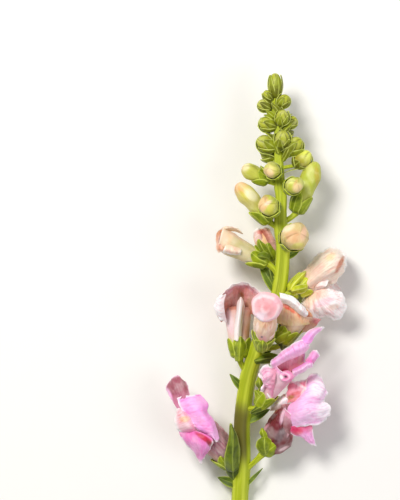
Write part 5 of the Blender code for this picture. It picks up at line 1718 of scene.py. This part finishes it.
# Sepals and bracts that lie in shade, dressed in the painted-shade copy of the sepal finish.
SHADED_LEAF_NETS = {
    "flower_right_upper_third": (((292.5, 292.5, 19), (298, 293.5, 20), (304, 293.5, 19)),
        ((295, 297, 17), (299, 298, 18.5), (303.5, 297.5, 17.5)),
        ((299.8, 302.2, 15), (300.5, 302.7, 15.5), (301.2, 302, 15))),
    "flower_front_right_second": (((277, 343, 22), (283, 343.5, 23), (291, 341.5, 21.5)),
        ((279, 346.5, 20), (283, 347, 21), (288, 345.5, 20)),
        ((281.3, 350.4, 18.5), (282, 350.7, 18.8), (282.8, 350.2, 18.5))),
    "flower_right_middle_bract": (((267, 402.5, 19), (266, 405.5, 20.5), (266, 409, 19)),
        ((259, 404.5, 18.5), (258.5, 408, 20.5), (259, 412, 18.5)),
        ((251, 411.5, 17), (250.5, 412.7, 17.2), (251, 413.8, 17))),
    "flower_front_right_bract": (((254, 358, 17), (254.5, 361, 18), (256, 364, 17)),
        ((269, 353, 18), (270, 358, 20), (271, 363, 18)),
        ((281.8, 357, 18.5), (282.5, 358, 18.7), (281.8, 359.3, 18.5))),
    "flower_left_lower_main": (((227, 470, 11.5), (233, 471.5, 14.5), (237.5, 469, 11)),
        ((224, 461, 16.5), (232, 460, 18.5), (240, 457, 13)),
        ((226, 449, 19.5), (232.5, 446, 20.5), (239, 444, 15)),
        ((229, 437, 19.8), (232.5, 434, 20.3), (236, 434, 17)),
        ((229.8, 424, 19), (230.6, 423.2, 19.2), (231.8, 424, 18.8))),
    "flower_left_lower_low": (((229, 466, 10), (234, 467, 12), (240, 466, 10)),
        ((226, 472, 8.5), (233, 474, 11), (241.5, 473, 9)),
        ((232, 479.5, 8), (234, 480, 8.3), (236, 479.5, 8))),
    "bud_opening_left_round": (((266, 261.5, 20), (269, 258.5, 22), (269.5, 254, 22)),
        ((260, 261.3, 21.5), (262.5, 256.5, 25), (264, 251.5, 24)),
        ((255.2, 257.5, 23), (255.5, 255.8, 23.5), (256.5, 253.8, 23.2))),
    "bud_opening_left_bract": (((273, 291, 15), (275.5, 290, 16.5), (277, 288, 16)),
        ((267.5, 276, 16.5), (271, 275, 19), (274.5, 274, 18)),
        ((266.5, 262, 18.5), (267.2, 261.3, 18.7), (268.2, 261.5, 18.5))),
}
TIP_LEAF_NETS = {
    "tip_first": (((279, 117, 21), (280.5, 115.5, 21.5), (281, 113, 21)),
        ((274.5, 111, 22), (276.5, 109, 22.8), (278.5, 107, 22)),
        ((271, 104, 22), (271.6, 103.4, 22.2), (272.4, 103.2, 22))),
    "tip_second": (((274, 120, 21), (276, 118.5, 22), (277, 116, 21.5)),
        ((268.5, 117, 21.5), (270.5, 114.5, 22.5), (272.5, 112, 21.8)),
        ((265.5, 110.5, 21), (266, 110, 21.2), (266.8, 109.8, 21))),
    "tip_third": (((276, 153, 21), (278.5, 153.5, 22), (281, 153, 21)),
        ((273, 144, 22), (275.5, 144, 23.2), (278, 144.5, 22.5)),
        ((272.6, 134.5, 22), (273.2, 134, 22.2), (274, 134.3, 22))),
    "tip_fourth": (((281, 160, 20), (283, 161, 21), (285, 160.5, 20.5)),
        ((284.5, 152, 22), (287, 153.5, 23.5), (289.5, 155.5, 22.5)),
        ((289, 146.5, 23), (290, 146.3, 23.2), (291, 147.3, 23))),
    "tip_fifth": (((280, 134, 20.5), (281.5, 134.5, 21), (283, 134, 20.5)),
        ((284, 128, 21), (286, 129.5, 22.5), (288, 131.5, 21.5)),
        ((290.5, 124.5, 21), (291.2, 124.7, 21.2), (291.8, 125.6, 21))),
}

# Bracts: where each leaves the stem, its tip and its width
BRACTS = (
    (-32.0, (-11.0, -24.5, 13.0), 3.4), (-72.0, (-16.0, -68.5, 4.5), 4.2), (-74.0, (3.0, -64.5, 6.5), 1.8),
    (-45.0, (6.0, -39.5, 9.0), 4.0), (-20.0, (8.0, -12.0, 12.5), 3.6), (-1.0, (18.0, 3.5, 10.5), 3.4),
    (9.0, (1.5, 22.5, 14.5), 4.6), (24.0, (18.5, 28.0, 16.0), 3.2),
)


def main() -> None:
    """Build every piece in order and report it."""
    logging.basicConfig(level=logging.INFO, format="%(message)s")
    MainStem(tuple((item.seat.joins, item.seat.base) for item in OPEN_FLOWERS + CLOSED_BUDS)).build()
    for index, flower in enumerate(OPEN_FLOWERS):
        flower.build()
        # The highest flower's calyx wears the lit copy of the sepal finish, a painted highlight.
        finish = LIT_SEPAL_SKIN if index == 0 else SEPAL_SKIN
        Sepals(flower.seat, finish, 0.2, 7.6, 6.4, index).build()
        pedicel(flower.seat).build()
    for lobe in LOBES:
        lobe.build()
    for index, bud in enumerate(CLOSED_BUDS):
        bud.build()
        length = min(8.0, 0.46 * bud.seat.length)
        Sepals(bud.seat, SEPAL_SKIN, 0.1, length, 5.6, index, True).build()
        pedicel(bud.seat).build()
    for index, row in enumerate(GREEN_BUDS):
        tint = BRIGHT if row[-1] > 1 else OLIVE
        GreenBud(f"green_bud_{index}", *row, tint, TOP_STRETCH if index == 0 else STRETCH).build()
    # The highest flower's sepals wear the lit copy and those in shade the shaded copy: painted light and
    # painted shade.
    for nets, finish in ((LEAF_NETS, LIT_SEPAL_SKIN), (SHADED_LEAF_NETS, SHADED_SEPAL_SKIN),
                         (TIP_LEAF_NETS, GREEN_SEPAL_SKIN)):
        for index, (name, net) in enumerate(nets.items()):
            plain = finish is LIT_SEPAL_SKIN and "right_upper" not in name
            Leaf(name + "_sepal", net, SEPAL_SKIN if plain else finish, index).build()
    for index, bract in enumerate(BRACTS):
        Bract(f"bract_{index}", *bract).build()
    seats = {flower.seat.name: flower.seat for flower in OPEN_FLOWERS}
    Stamens(seats["flower_front_right"]).build()
    Studio.build()


if __name__ == "__main__":
    main()
